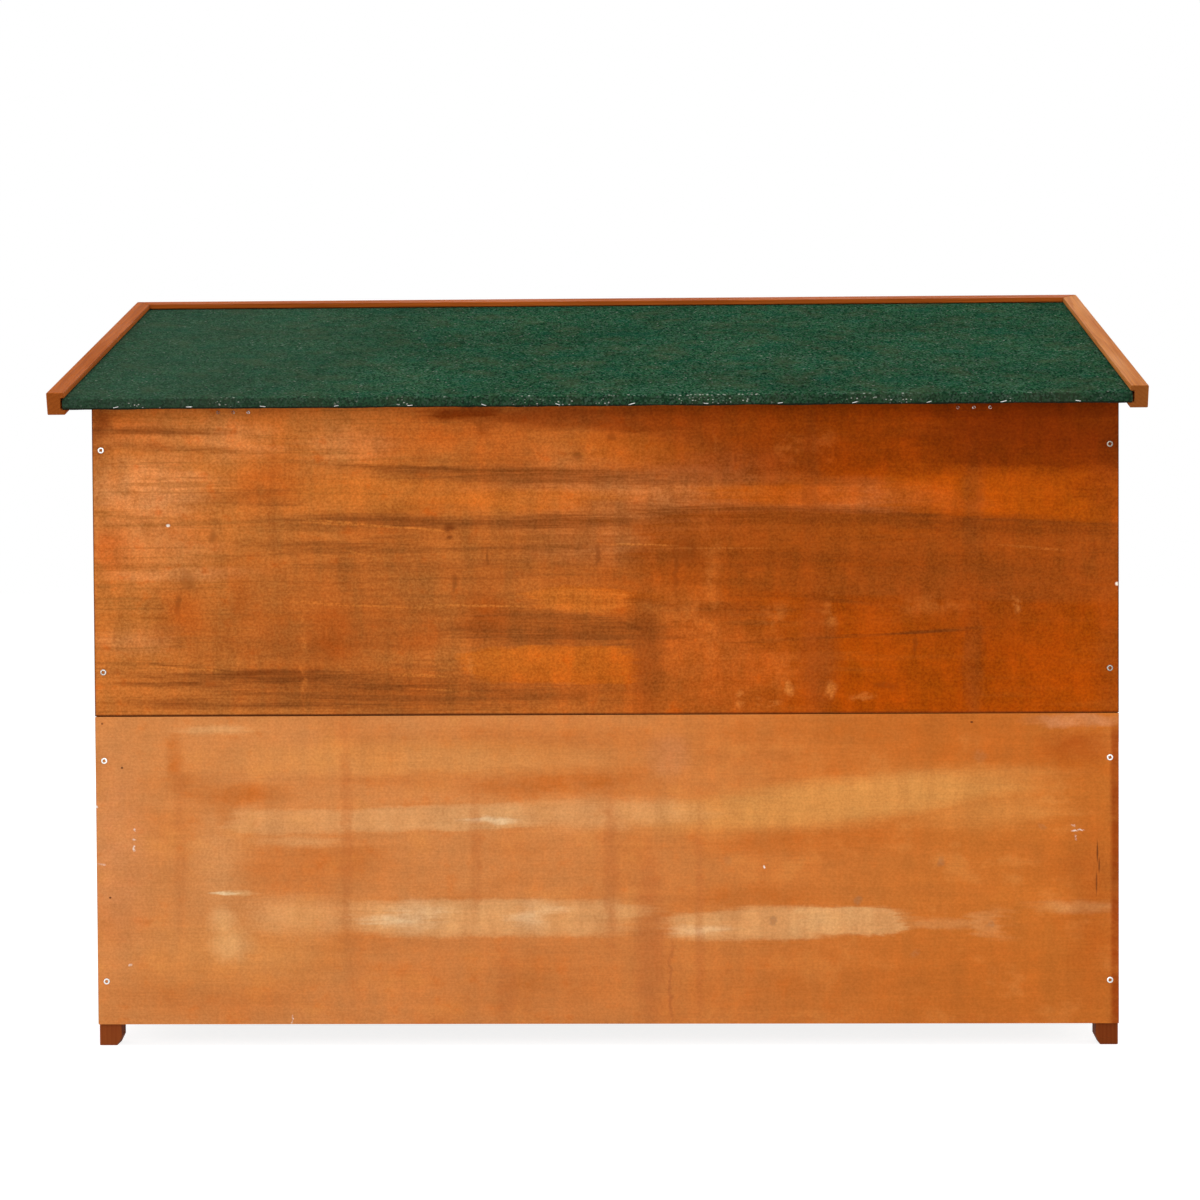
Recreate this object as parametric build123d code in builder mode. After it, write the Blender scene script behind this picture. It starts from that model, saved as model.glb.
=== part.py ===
from build123d import *
import os
from math import cos, radians, sin, tan

# Two-tier rabbit hutch with a hinged, felt-covered pent roof. Millimetres, +Z up.
# The doors face -Y and the plain ply back faces +Y. Left and right are as seen from the doors,
# so right is +X. The origin is on the ground, under the middle of the roof.

os.makedirs("parts", exist_ok=True)

# Overall sizes
body_width = 1150
body_depth = 455
back_wall_height = 727
tier_height = 374
foot_height = 25
roof_pitch = 15.5
roof_back_reach = 33
roof_front_reach = 35
roof_side_reach = 35

# Timber sections
post_size = 25
foot_chamfer_in = 5
foot_chamfer_up = 10
rail_height = 25
rail_thickness = 18
front_top_rail_height = 30
sill_height = 18
mullion_width = 25

# Sheet pieces
back_panel_thickness = 6
side_panel_thickness = 5
floor_thickness = 6
divider_thickness = 6
panel_seam = 0.6

# Clearances
seat_gap = 0.3
joint_gap = 0.5
glue_gap = 0.1

# Roof
lid_offset = 8
roof_board_thickness = 10
eave_round = 4
felt_thickness = 2.2
trim_width = 20
trim_lip = 6
groove_depth = 5
groove_clearance = 0.8
board_entry = 2.5
staple_pitch = 82
staple_crown = 11
staple_wire = 1.0
staple_height = 1.6

# Screw heads on the back panels
screw_head_radius = 3.7
screw_head_height = 0.8
screw_inset = 10
screw_from_seam = 50
screw_from_bottom = 49
screw_from_top = 53

# Butt hinges
hinge_length = 50
leaf_width = 14
leaf_thickness = 1.2
knuckle_radius = 3.0
knuckle_sides = 16
middle_knuckle = 20
knuckle_gap = 0.3
pin_radius = 1.5
pin_fit = 0.05
door_hinge_inset = 60
roof_leaf_width = 11
roof_hinge_inset = 165

# Doors
nest_width = 370
door_thickness = 18
stick_width = 42
door_gap = 2.5
infill_lap = 6
nest_panel_thickness = 5
net_wire = 1.6
net_pitch_across = 26
net_pitch_up = 50
stop_width = 6

# Barrel bolts
rod_radius = 3.0
rod_fit = 0.3
rod_setback = 1
rod_tail = 1
strap_thickness = 1.2
bolt_plate_width = 22
bolt_plate_edge = 2
barrel_edge = 2
bolt_throw = 14
knob_radius = 2.2
knob_reach = 12
knob_from_heel = 7
keeper_edge = 3
keeper_spacing = 3

# Trays
tray_height = 22
tray_headroom = 4
tray_sheet = 1.0
tray_front_thickness = 15
tray_side_gap = 3
tray_back_gap = 6
finger_slot_length = 90
finger_slot_height = 14

# Ramp, its hole and the doorway of the sleeping room
hole_length = 290
hole_width = 220
hole_side_margin = 30
hole_back_margin = 10
ramp_angle = 39
ramp_width = 180
ramp_thickness = 9
ramp_bearer_width = 24
cleat_reach = 18
tread_width = 12
tread_height = 6
tread_pitch = 55
doorway_width = 170
doorway_height = 210

# Worked out from the sizes above
slope = radians(roof_pitch)
rise = sin(slope)
run = cos(slope)
roof_width = body_width + 2 * roof_side_reach
groove_height = roof_board_thickness + felt_thickness + groove_clearance
trim_height = groove_height + 2 * trim_lip
outer_line = body_width / 2
inner_line = outer_line - post_size
side_line = outer_line - rail_thickness
back_reach_y = roof_back_reach * run + (trim_height - trim_lip) * rise
front_reach_y = roof_front_reach * run + trim_lip * rise
back_y = (body_depth + front_reach_y - back_reach_y) / 2
front_y = back_y - body_depth
frame_back_y = back_y - back_panel_thickness
side_front_y = front_y + post_size
side_back_y = frame_back_y - post_size
mid_rail_z = tier_height - rail_height / 2
tray_slot = tray_height + tray_headroom
lower_floor_z = foot_height + rail_height
lower_sill_z = lower_floor_z + floor_thickness + tray_slot
upper_floor_z = mid_rail_z + rail_height
upper_sill_z = upper_floor_z + floor_thickness + tray_slot
axis_height = knuckle_radius + knuckle_gap
sides = (("left", -1), ("right", 1))

# The underside of the roof, with its y running down the slope to the eave, and the plane just
# under it that the posts, rails and panels are cut to.
roof_under = Plane(
    origin=(0, back_y, back_wall_height + seat_gap), x_dir=(1, 0, 0), z_dir=(0, rise, run)
)
wall_top = roof_under.offset(-seat_gap)
eave_v = roof_back_reach
front_v = -(body_depth / run + roof_front_reach)


def wall_top_z(y):
    """Height of the plane that the walls are cut to."""
    return wall_top.origin.Z + (wall_top.origin.Y - y) * tan(slope)


front_top_rail_z = wall_top_z(front_y) - front_top_rail_height
back_top_rail_z = back_wall_height - rail_height


# The lid hangs a little off the middle of the body, and the origin is under the lid's middle
lid_place = Location((0, 0, 0))
body_place = Location((-lid_offset, 0, 0))


def save(piece, name, place=body_place):
    """Put one finished piece in its place, label it and write its STEP file."""
    placed = piece.moved(place)
    placed.label = name
    export_step(placed, f"parts/{name}.step")


def bar(low, high):
    """A square-cut stick between two opposite corners, added to the part being built."""
    with Locations(low):
        Box(high[0] - low[0], high[1] - low[1], high[2] - low[2], align=(Align.MIN,) * 3)


def side_span(side, inner, outer):
    """The x range between two distances from the middle, on one side."""
    return sorted((side * inner, side * outer))


# Screw heads that hold the back panels to the posts

screw_heights = (
    foot_height + screw_from_bottom,
    tier_height - screw_from_seam,
    tier_height + screw_from_seam,
    back_wall_height - screw_from_top,
)
with BuildPart() as back_panel_screws:
    with BuildSketch(Plane.XZ.offset(-back_y)):
        for name, side in sides:
            with Locations(*[(side * (outer_line - screw_inset), z) for z in screw_heights]):
                Circle(screw_head_radius)
    extrude(amount=-screw_head_height)
save(back_panel_screws.part, "back_panel_screws")

# Corner posts, cut to the slope of the roof, each foot chamfered on its inner side

for end_name, post_y in (("front", front_y), ("back", side_back_y)):
    for side_name, side in sides:
        x0, x1 = side_span(side, inner_line, outer_line)
        with BuildPart() as post:
            bar((x0, post_y, 0), (x1, post_y + post_size, wall_top_z(post_y)))
            split(bisect_by=wall_top, keep=Keep.BOTTOM)
            foot = post.faces().sort_by(Axis.Z)[0]
            inner_edge = foot.edges().filter_by(Axis.Y).sort_by_distance((0, post_y, 0))[0]
            chamfer(inner_edge, foot_chamfer_in, foot_chamfer_up, reference=foot)
        save(post.part, f"post_{end_name}_{side_name}")

# Side frames: three rails between the posts and two ply panels on their inner faces

side_top_front = (side_front_y, wall_top_z(side_front_y))
side_top_back = (side_back_y, wall_top_z(side_back_y))

for side_name, side in sides:
    x0, x1 = side_span(side, side_line, outer_line)
    with BuildPart() as side_rails:
        for low in (foot_height, mid_rail_z):
            bar((x0, side_front_y, low), (x1, side_back_y, low + rail_height))
        with BuildSketch(Plane.YZ.offset(x0)):
            with BuildLine():
                Polyline(
                    side_top_front,
                    side_top_back,
                    (side_back_y, side_top_back[1] - rail_height),
                    (side_front_y, side_top_front[1] - rail_height),
                    close=True,
                )
            make_face()
        extrude(amount=rail_thickness)
    save(side_rails.part, f"side_rails_{side_name}")

    x0, x1 = side_span(side, side_line - side_panel_thickness, side_line)
    with BuildPart() as side_panel_lower:
        bar((x0, side_front_y, foot_height), (x1, side_back_y, tier_height - panel_seam / 2))
    save(side_panel_lower.part, f"side_panel_lower_{side_name}")

    with BuildPart() as side_panel_upper:
        with BuildSketch(Plane.YZ.offset(x0)):
            with BuildLine():
                Polyline(
                    side_top_front,
                    side_top_back,
                    (side_back_y, tier_height + panel_seam / 2),
                    (side_front_y, tier_height + panel_seam / 2),
                    close=True,
                )
            make_face()
        extrude(amount=side_panel_thickness)
    save(side_panel_upper.part, f"side_panel_upper_{side_name}")

# Back wall: three rails between the posts and two ply panels over all of it

with BuildPart() as back_rails:
    for low in (foot_height, mid_rail_z, back_top_rail_z):
        bar(
            (-inner_line, frame_back_y - rail_thickness, low),
            (inner_line, frame_back_y, low + rail_height),
        )
save(back_rails.part, "back_rails")

with BuildPart() as back_panel_lower:
    bar(
        (-outer_line, frame_back_y, foot_height),
        (outer_line, back_y, tier_height - panel_seam / 2),
    )
save(back_panel_lower.part, "back_panel_lower")

with BuildPart() as back_panel_upper:
    bar(
        (-outer_line, frame_back_y, tier_height + panel_seam / 2),
        (outer_line, back_y, wall_top_z(frame_back_y)),
    )
    split(bisect_by=wall_top, keep=Keep.BOTTOM)
save(back_panel_upper.part, "back_panel_upper")

# Front frame: five rails between the posts, a mullion in each tier, and door stops on them

front_rail_spans = (
    (foot_height, foot_height + rail_height),
    (lower_sill_z, lower_sill_z + sill_height),
    (mid_rail_z, mid_rail_z + rail_height),
    (upper_sill_z, upper_sill_z + sill_height),
    (front_top_rail_z, front_top_rail_z + front_top_rail_height),
)
with BuildPart() as front_rails:
    for low, high in front_rail_spans:
        bar((-inner_line, front_y, low), (inner_line, side_front_y, high))
    split(bisect_by=wall_top, keep=Keep.BOTTOM)
save(front_rails.part, "front_rails")

upper_mullion_x = -inner_line + nest_width + mullion_width / 2
lower_door_span = (lower_sill_z + sill_height, mid_rail_z)
upper_door_span = (upper_sill_z + sill_height, front_top_rail_z)
mullions = ((0, *lower_door_span), (upper_mullion_x, *upper_door_span))

with BuildPart() as front_mullions:
    for x, low, high in mullions:
        bar(
            (x - mullion_width / 2, front_y, low),
            (x + mullion_width / 2, side_front_y, high),
        )
save(front_mullions.part, "front_mullions")

with BuildPart() as door_stops:
    for x, low, high in mullions:
        for name, side in sides:
            x0, x1 = side_span(side, mullion_width / 2, mullion_width / 2 + stop_width)
            bar((x + x0, front_y + door_thickness + seat_gap, low), (x + x1, side_front_y, high))
save(door_stops.part, "door_stops")

# Floors, which rest on the front and back rails; the upper one has the ramp's hole

floor_front_y = front_y + tray_front_thickness + joint_gap
hole_right = inner_line - hole_side_margin
hole_left = hole_right - hole_length
hole_back_y = frame_back_y - rail_thickness - hole_back_margin
ramp_middle_y = hole_back_y - hole_width / 2

with BuildPart() as lower_floor:
    bar(
        (joint_gap - inner_line, floor_front_y, lower_floor_z),
        (inner_line - joint_gap, frame_back_y, lower_floor_z + floor_thickness),
    )
save(lower_floor.part, "lower_floor")

with BuildPart() as upper_floor:
    bar(
        (joint_gap - inner_line, floor_front_y, upper_floor_z),
        (inner_line - joint_gap, frame_back_y, upper_floor_z + floor_thickness),
    )
    with BuildSketch(Plane.XY.offset(upper_floor_z)):
        with Locations((hole_left + hole_length / 2, ramp_middle_y)):
            Rectangle(hole_length, hole_width)
    extrude(amount=floor_thickness, mode=Mode.SUBTRACT)
save(upper_floor.part, "upper_floor")

# Divider of the sleeping room, notched round the back top rail, with an arched doorway

with BuildPart() as nest_divider:
    notch_y = frame_back_y - rail_thickness
    with BuildSketch(Plane.YZ.offset(upper_mullion_x)):
        with BuildLine():
            Polyline(
                (side_front_y, upper_sill_z),
                (frame_back_y, upper_sill_z),
                (frame_back_y, back_top_rail_z),
                (notch_y, back_top_rail_z),
                (notch_y, wall_top_z(notch_y)),
                (side_front_y, wall_top_z(side_front_y)),
                close=True,
            )
        make_face()
        arch_radius = doorway_width / 2
        with Locations((ramp_middle_y - arch_radius, upper_sill_z)):
            Rectangle(
                doorway_width,
                doorway_height - arch_radius,
                align=(Align.CENTER, Align.MIN),
                mode=Mode.SUBTRACT,
            )
        with Locations((ramp_middle_y - arch_radius, upper_sill_z + doorway_height - arch_radius)):
            Circle(arch_radius, mode=Mode.SUBTRACT)
    extrude(amount=divider_thickness / 2, both=True)
save(nest_divider.part, "nest_divider")

# Ramp from the upper floor to a bearer over the lower tray, with treads across it

ramp_slope = radians(ramp_angle)
ramp_top_x = hole_right - joint_gap
ramp_top_z = upper_floor_z + floor_thickness
ramp_foot_z = lower_sill_z + sill_height
ramp_depth_z = ramp_thickness / cos(ramp_slope)


def ramp_under_z(x):
    """Height of the ramp's underside."""
    return ramp_top_z - ramp_depth_z - (ramp_top_x - x) * tan(ramp_slope)


ramp_foot_x = ramp_top_x - (ramp_top_z - ramp_foot_z) / tan(ramp_slope)
ramp_heel_x = ramp_top_x - (ramp_top_z - ramp_depth_z - ramp_foot_z) / tan(ramp_slope)
ramp_length = (ramp_top_z - ramp_foot_z) / sin(ramp_slope)
ramp_section = Plane(origin=(0, ramp_middle_y, 0), x_dir=(1, 0, 0), z_dir=(0, -1, 0))

with BuildPart() as ramp_board:
    with BuildSketch(ramp_section):
        with BuildLine():
            Polyline(
                (ramp_top_x, ramp_top_z),
                (ramp_top_x, ramp_top_z - ramp_depth_z),
                (ramp_heel_x, ramp_foot_z),
                (ramp_foot_x, ramp_foot_z),
                close=True,
            )
        make_face()
    extrude(amount=ramp_width / 2, both=True)
save(ramp_board.part, "ramp_board")

ramp_face = Plane(
    origin=(ramp_top_x, ramp_middle_y, ramp_top_z),
    x_dir=(-cos(ramp_slope), 0, -sin(ramp_slope)),
    z_dir=(-sin(ramp_slope), 0, cos(ramp_slope)),
)
tread_count = int(ramp_length / tread_pitch) - 1
with BuildPart(ramp_face) as ramp_treads:
    with Locations(*[(tread_pitch * (count + 1), 0, 0) for count in range(tread_count)]):
        Box(tread_width, ramp_width, tread_height, align=(Align.CENTER, Align.CENTER, Align.MIN))
save(ramp_treads.part, "ramp_treads")

with BuildPart() as ramp_cleats:
    cleat_low_z = ramp_under_z(ramp_top_x - cleat_reach)
    with BuildSketch(ramp_section):
        with BuildLine():
            Polyline(
                (hole_right + cleat_reach, upper_floor_z),
                (ramp_top_x, upper_floor_z),
                (ramp_top_x, ramp_under_z(ramp_top_x)),
                (ramp_top_x - cleat_reach, cleat_low_z),
                (hole_right + cleat_reach, cleat_low_z),
                close=True,
            )
        make_face()
    extrude(amount=ramp_width / 2, both=True)
    bearer_x = (ramp_foot_x + ramp_heel_x - ramp_bearer_width) / 2
    bar(
        (bearer_x, side_front_y, lower_sill_z),
        (bearer_x + ramp_bearer_width, frame_back_y, ramp_foot_z),
    )
save(ramp_cleats.part, "ramp_cleats")

# Pull-out trays: a folded metal pan behind a wooden front with a finger slot

tray_left = tray_side_gap - inner_line
trays = (
    ("lower", tray_left, -tray_left, lower_floor_z),
    ("upper", tray_left, hole_left - 2 * cleat_reach, upper_floor_z),
)
pan_front_y = front_y + tray_front_thickness
pan_back_y = frame_back_y - tray_back_gap
tray_front_height = floor_thickness + tray_slot - 2 * joint_gap

for tier, left, right, floor_z in trays:
    with BuildPart() as tray_pan:
        pan_z = floor_z + floor_thickness + seat_gap
        bar((left, pan_front_y, pan_z), (right, pan_back_y, pan_z + tray_height))
        rim = tray_pan.faces().sort_by(Axis.Z)[-1]
        offset(amount=-tray_sheet, openings=rim, kind=Kind.INTERSECTION)
    save(tray_pan.part, f"{tier}_tray_pan")

    with BuildPart() as tray_front:
        front_z = floor_z + joint_gap
        bar((left, front_y, front_z), (right, pan_front_y, front_z + tray_front_height))
        with BuildSketch(Plane.XZ.offset(-front_y)):
            with Locations(((left + right) / 2, front_z + tray_front_height / 2)):
                SlotOverall(finger_slot_length, finger_slot_height)
        extrude(amount=-tray_front_thickness, mode=Mode.SUBTRACT)
    save(tray_front.part, f"{tier}_tray_front")

with BuildPart() as upper_tray_filler:
    filler_left = trays[1][2] + tray_side_gap
    bar(
        (filler_left, front_y, upper_floor_z),
        (inner_line, pan_front_y, upper_floor_z + floor_thickness + tray_slot),
    )
save(upper_tray_filler.part, "upper_tray_filler")

# Butt hinges, drawn about an axis plane: its x runs along the leaf, its y away from the seat

outer_knuckles = (
    (-hinge_length / 2, -middle_knuckle / 2 - knuckle_gap),
    (middle_knuckle / 2 + knuckle_gap, hinge_length / 2),
)
inner_knuckle = ((-middle_knuckle / 2, middle_knuckle / 2),)


def hinge_leaf(axis, knuckles, width):
    """One leaf of a butt hinge, with its own many-sided knuckles round the pin."""
    with BuildPart() as leaf:
        with BuildSketch(axis.offset(-hinge_length / 2)):
            with Locations((axis_height, -axis_height)):
                Rectangle(width - axis_height, leaf_thickness, align=(Align.MIN, Align.MIN))
        extrude(amount=hinge_length)
        for low, high in knuckles:
            with BuildSketch(axis.offset(low)):
                RegularPolygon(knuckle_radius, knuckle_sides)
                with Locations((0, -axis_height)):
                    Rectangle(width / 2, leaf_thickness, align=(Align.MIN, Align.MIN))
                RegularPolygon(
                    pin_radius + pin_fit, knuckle_sides, major_radius=False, mode=Mode.SUBTRACT
                )
            extrude(amount=high - low)
    return leaf.part


def hinge_pin(axis):
    """A hinge pin as long as its knuckles."""
    with BuildPart() as pin:
        with BuildSketch(axis.offset(-hinge_length / 2)):
            Circle(pin_radius)
        extrude(amount=hinge_length)
    return pin.part


# Each roof hinge's pin runs along X, in the corner between the back wall and the roof
roof_pin_v = axis_height * (1 + rise) / run
roof_pin = roof_under.from_local_coords((0, roof_pin_v, -axis_height))
roof_wall_leaves = []
roof_eave_leaves = []
roof_pins = []
for name, side in sides:
    centre = (side * (outer_line - roof_hinge_inset), roof_pin.Y, roof_pin.Z)
    wall_axis = Plane(origin=centre, x_dir=(0, 0, -1), z_dir=(1, 0, 0))
    eave_axis = Plane(origin=centre, x_dir=(0, run, -rise), z_dir=(-1, 0, 0))
    roof_wall_leaves.append(hinge_leaf(wall_axis, outer_knuckles, roof_leaf_width))
    roof_eave_leaves.append(hinge_leaf(eave_axis, inner_knuckle, roof_leaf_width))
    roof_pins.append(hinge_pin(wall_axis))

with BuildPart() as roof_hinge_wall_leaves:
    add(roof_wall_leaves)
save(roof_hinge_wall_leaves.part, "roof_hinge_wall_leaves")

with BuildPart() as roof_hinge_eave_leaves:
    add(roof_eave_leaves)
save(roof_hinge_eave_leaves.part, "roof_hinge_eave_leaves")

with BuildPart() as roof_hinge_pins:
    add(roof_pins)
save(roof_hinge_pins.part, "roof_hinge_pins")

# Barrel bolts, drawn on a plane at the door's free edge: its x is the throw, its z points out

rod_bore = rod_radius + rod_fit
rod_height = strap_thickness + rod_bore
bolt_plate_length = stick_width - 2 * bolt_plate_edge
bolt_heel = bolt_plate_edge + bolt_plate_length
keeper_width = (mullion_width - keeper_spacing) / 2 - keeper_edge
knob_setback = bolt_heel - knob_from_heel


def across_bolt(bolt, x):
    """The plane square to the rod at a distance along the throw."""
    return Plane(
        origin=bolt.from_local_coords((x, 0, 0)), x_dir=bolt.y_dir, z_dir=bolt.x_dir
    )


def strap(bolt, low, high, plate_low, plate_high):
    """A base plate with a half-round bridge over the rod, as the pressed metal has it."""
    with BuildPart() as housing:
        with BuildSketch(bolt):
            with Locations(((plate_low + plate_high) / 2, 0)):
                Rectangle(plate_high - plate_low, bolt_plate_width)
        extrude(amount=strap_thickness)
        with BuildSketch(across_bolt(bolt, low)):
            with Locations((0, rod_height)):
                Circle(rod_bore + strap_thickness)
            Rectangle(
                2 * (rod_bore + strap_thickness), rod_height, align=(Align.CENTER, Align.MIN)
            )
            with Locations((0, rod_height)):
                Circle(rod_bore, mode=Mode.SUBTRACT)
            with Locations((0, strap_thickness)):
                Rectangle(
                    2 * rod_bore, rod_bore, align=(Align.CENTER, Align.MIN), mode=Mode.SUBTRACT
                )
        extrude(amount=high - low)
    return housing.part


def bolt_housing(bolt):
    """The part of the bolt on the door, slotted for the knob's travel."""
    barrel_low = barrel_edge - bolt_heel
    barrel_high = -bolt_plate_edge - barrel_edge
    body = strap(bolt, barrel_low, barrel_high, -bolt_heel, -bolt_plate_edge)
    with BuildPart() as housing:
        add(body)
        with BuildSketch(bolt.offset(rod_height)):
            slot_width = 2 * (knob_radius + rod_fit)
            with Locations((bolt_throw / 2 - knob_setback, 0)):
                Rectangle(bolt_throw + slot_width, slot_width)
        extrude(amount=knob_reach, mode=Mode.SUBTRACT)
    return housing.part


def bolt_rod(bolt):
    """The sliding rod, drawn back, with its knob standing out through the slot."""
    with BuildPart() as rod:
        with BuildSketch(across_bolt(bolt, -rod_setback)):
            with Locations((0, rod_height)):
                Circle(rod_radius)
        extrude(amount=rod_setback - bolt_heel - rod_tail)
        with BuildSketch(bolt.offset(rod_height)):
            with Locations((-knob_setback, 0)):
                Circle(knob_radius)
        extrude(amount=knob_reach)
    return rod.part


def bolt_keeper(bolt):
    """The bridge on the mullion that the rod shoots into."""
    low = door_gap + keeper_edge
    return strap(bolt, low, low + keeper_width, low, low + keeper_width)


# Doors: four sticks, an infill behind them, two hinges on the outer post and a bolt

def door_sticks(x0, x1, z0, z1):
    """Two stiles with two rails between them."""
    back = front_y + door_thickness
    with BuildPart() as frame:
        for left in (x0, x1 - stick_width):
            bar((left, front_y, z0), (left + stick_width, back, z1))
        for low in (z0, z1 - stick_width):
            bar(
                (x0 + stick_width + glue_gap, front_y, low),
                (x1 - stick_width - glue_gap, back, low + stick_width),
            )
    return frame.part


def infill_sketch_plane(x0, x1, z0, z1):
    """The plane on the back of a door's sticks, centred on the door, pointing into the hutch."""
    return Plane(
        origin=((x0 + x1) / 2, front_y + door_thickness, (z0 + z1) / 2),
        x_dir=(-1, 0, 0),
        z_dir=(0, 1, 0),
    )


def infill_size(x0, x1, z0, z1):
    """Width and height of an infill that laps the sticks."""
    margin = 2 * (stick_width - infill_lap)
    return x1 - x0 - margin, z1 - z0 - margin


def solid_panel(*door):
    """A plain ply infill."""
    with BuildPart() as panel:
        with BuildSketch(infill_sketch_plane(*door)):
            Rectangle(*infill_size(*door))
        extrude(amount=nest_panel_thickness)
    return panel.part


def welded_net(*door):
    """A welded-wire infill, as one holed sheet a wire thick."""
    width, height = infill_size(*door)
    across = round(width / net_pitch_across)
    up = round(height / net_pitch_up)
    with BuildPart() as net:
        with BuildSketch(infill_sketch_plane(*door)):
            Rectangle(width + net_wire, height + net_wire)
            with GridLocations(width / across, height / up, across, up):
                Rectangle(width / across - net_wire, height / up - net_wire, mode=Mode.SUBTRACT)
        extrude(amount=net_wire)
    return net.part


# Each door: name, hinge side, clear opening in x and z, infill's name and maker
doors = (
    ("nest_door", -1, -inner_line, upper_mullion_x - mullion_width / 2,
     upper_door_span, "panel", solid_panel),
    ("upper_door", 1, upper_mullion_x + mullion_width / 2, inner_line,
     upper_door_span, "net", welded_net),
    ("lower_left_door", -1, -inner_line, -mullion_width / 2,
     lower_door_span, "net", welded_net),
    ("lower_right_door", 1, mullion_width / 2, inner_line,
     lower_door_span, "net", welded_net),
)
post_leaves = []
door_pins = []
keepers = []

for door_name, side, left, right, height_span, infill_name, infill in doors:
    door = (
        left + door_gap, right - door_gap, height_span[0] + door_gap, height_span[1] - door_gap
    )
    hinge_heights = (door[2] + door_hinge_inset, door[3] - door_hinge_inset)
    door_leaves = []
    for z in hinge_heights:
        centre = (side * (inner_line - door_gap / 2), front_y - axis_height, z)
        post_axis = Plane(origin=centre, x_dir=(side, 0, 0), z_dir=(0, 0, -side))
        door_axis = Plane(origin=centre, x_dir=(-side, 0, 0), z_dir=(0, 0, side))
        post_leaves.append(hinge_leaf(post_axis, outer_knuckles, leaf_width))
        door_leaves.append(hinge_leaf(door_axis, inner_knuckle, leaf_width))
        door_pins.append(hinge_pin(post_axis))
    free_edge = door[1] if side < 0 else door[0]
    bolt = Plane(
        origin=(free_edge, front_y, (door[2] + door[3]) / 2), x_dir=(-side, 0, 0), z_dir=(0, -1, 0)
    )
    keepers.append(bolt_keeper(bolt))
    save(door_sticks(*door), f"{door_name}_frame")
    save(infill(*door), f"{door_name}_{infill_name}")
    save(bolt_housing(bolt), f"{door_name}_bolt_housing")
    save(bolt_rod(bolt), f"{door_name}_bolt_rod")
    with BuildPart() as door_hinge_leaves:
        add(door_leaves)
    save(door_hinge_leaves.part, f"{door_name}_hinge_leaves")

with BuildPart() as post_hinge_leaves:
    add(post_leaves)
save(post_hinge_leaves.part, "post_hinge_leaves")

with BuildPart() as door_hinge_pins:
    add(door_pins)
save(door_hinge_pins.part, "door_hinge_pins")

with BuildPart() as bolt_keepers:
    add(keepers)
save(bolt_keepers.part, "bolt_keepers")

# Roof board in the grooves of the trims, with the felt laid over it and down its back edge

board_half_width = roof_width / 2 - trim_width + board_entry
board_back_v = eave_v - felt_thickness
board_front_v = front_v + trim_width - board_entry
slope_section = Plane(origin=roof_under.origin, x_dir=roof_under.y_dir, z_dir=(1, 0, 0))

with BuildPart() as roof_board:
    with BuildSketch(slope_section):
        with BuildLine():
            FilletPolyline(
                (board_front_v, 0),
                (board_front_v, roof_board_thickness),
                (board_back_v, roof_board_thickness),
                (board_back_v, 0),
                radius=(0, 0, eave_round, 0),
                close=True,
            )
        make_face()
    extrude(amount=board_half_width, both=True)
save(roof_board.part, "roof_board", lid_place)

with BuildPart() as roof_felt:
    with BuildSketch(slope_section):
        with BuildLine():
            inside = FilletPolyline(
                (board_front_v, roof_board_thickness),
                (board_back_v, roof_board_thickness),
                (board_back_v, 0),
                radius=eave_round,
            )
            outside = FilletPolyline(
                (board_front_v, roof_board_thickness + felt_thickness),
                (eave_v, roof_board_thickness + felt_thickness),
                (eave_v, 0),
                radius=eave_round + felt_thickness,
            )
            Line(inside @ 0, outside @ 0)
            Line(inside @ 1, outside @ 1)
        make_face()
    extrude(amount=board_half_width, both=True)
save(roof_felt.part, "roof_felt", lid_place)

eave_face = Plane(
    origin=roof_under.from_local_coords((0, eave_v, 0)),
    x_dir=(-1, 0, 0),
    z_dir=roof_under.y_dir,
)
staple_count = int(2 * board_half_width / staple_pitch)
with BuildPart(eave_face) as felt_staples:
    with Locations((0, staple_height, 0)):
        with GridLocations(staple_pitch, 1, staple_count, 1):
            Box(staple_crown, staple_wire, staple_wire, align=(Align.CENTER, Align.MIN, Align.MIN))
save(felt_staples.part, "felt_staples", lid_place)

# Roof trims: a grooved section along both sides and the front, mitred at the front corners


def grooved_outline(outer, inward):
    """Corners of the trim's section, from its outer face, with the groove on its inner side."""
    inner = outer + inward * trim_width
    bottom = inner - inward * groove_depth
    return (
        (outer, -trim_lip),
        (inner, -trim_lip),
        (inner, 0),
        (bottom, 0),
        (bottom, groove_height),
        (inner, groove_height),
        (inner, trim_height - trim_lip),
        (outer, trim_height - trim_lip),
    )


def mitre(side):
    """The upright plane through a front corner, at 45 degrees, facing the side trim."""
    corner = roof_under.from_local_coords((side * roof_width / 2, front_v, 0))
    return Plane(origin=corner, z_dir=(side, run, -rise))


trim_length = eave_v - front_v
eave_section = Plane(
    origin=roof_under.from_local_coords((0, eave_v, 0)), x_dir=(1, 0, 0), z_dir=-roof_under.y_dir
)
for side_name, side in sides:
    with BuildPart() as side_trim:
        with BuildSketch(eave_section):
            with BuildLine():
                Polyline(*grooved_outline(side * roof_width / 2, -side), close=True)
            make_face()
        extrude(amount=trim_length)
        split(bisect_by=mitre(side), keep=Keep.TOP)
    save(side_trim.part, f"roof_trim_{side_name}", lid_place)

with BuildPart() as front_trim:
    with BuildSketch(slope_section):
        with BuildLine():
            Polyline(*grooved_outline(front_v, 1), close=True)
        make_face()
    extrude(amount=roof_width / 2, both=True)
    for name, side in sides:
        split(bisect_by=mitre(side), keep=Keep.BOTTOM)
save(front_trim.part, "roof_trim_front", lid_place)
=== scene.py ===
import random
from functools import partial, partialmethod, reduce
from math import cos, pi, radians, sin, tau
from types import SimpleNamespace

import bmesh
import bpy
from mathutils import Euler, Matrix, Vector, noise


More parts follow.
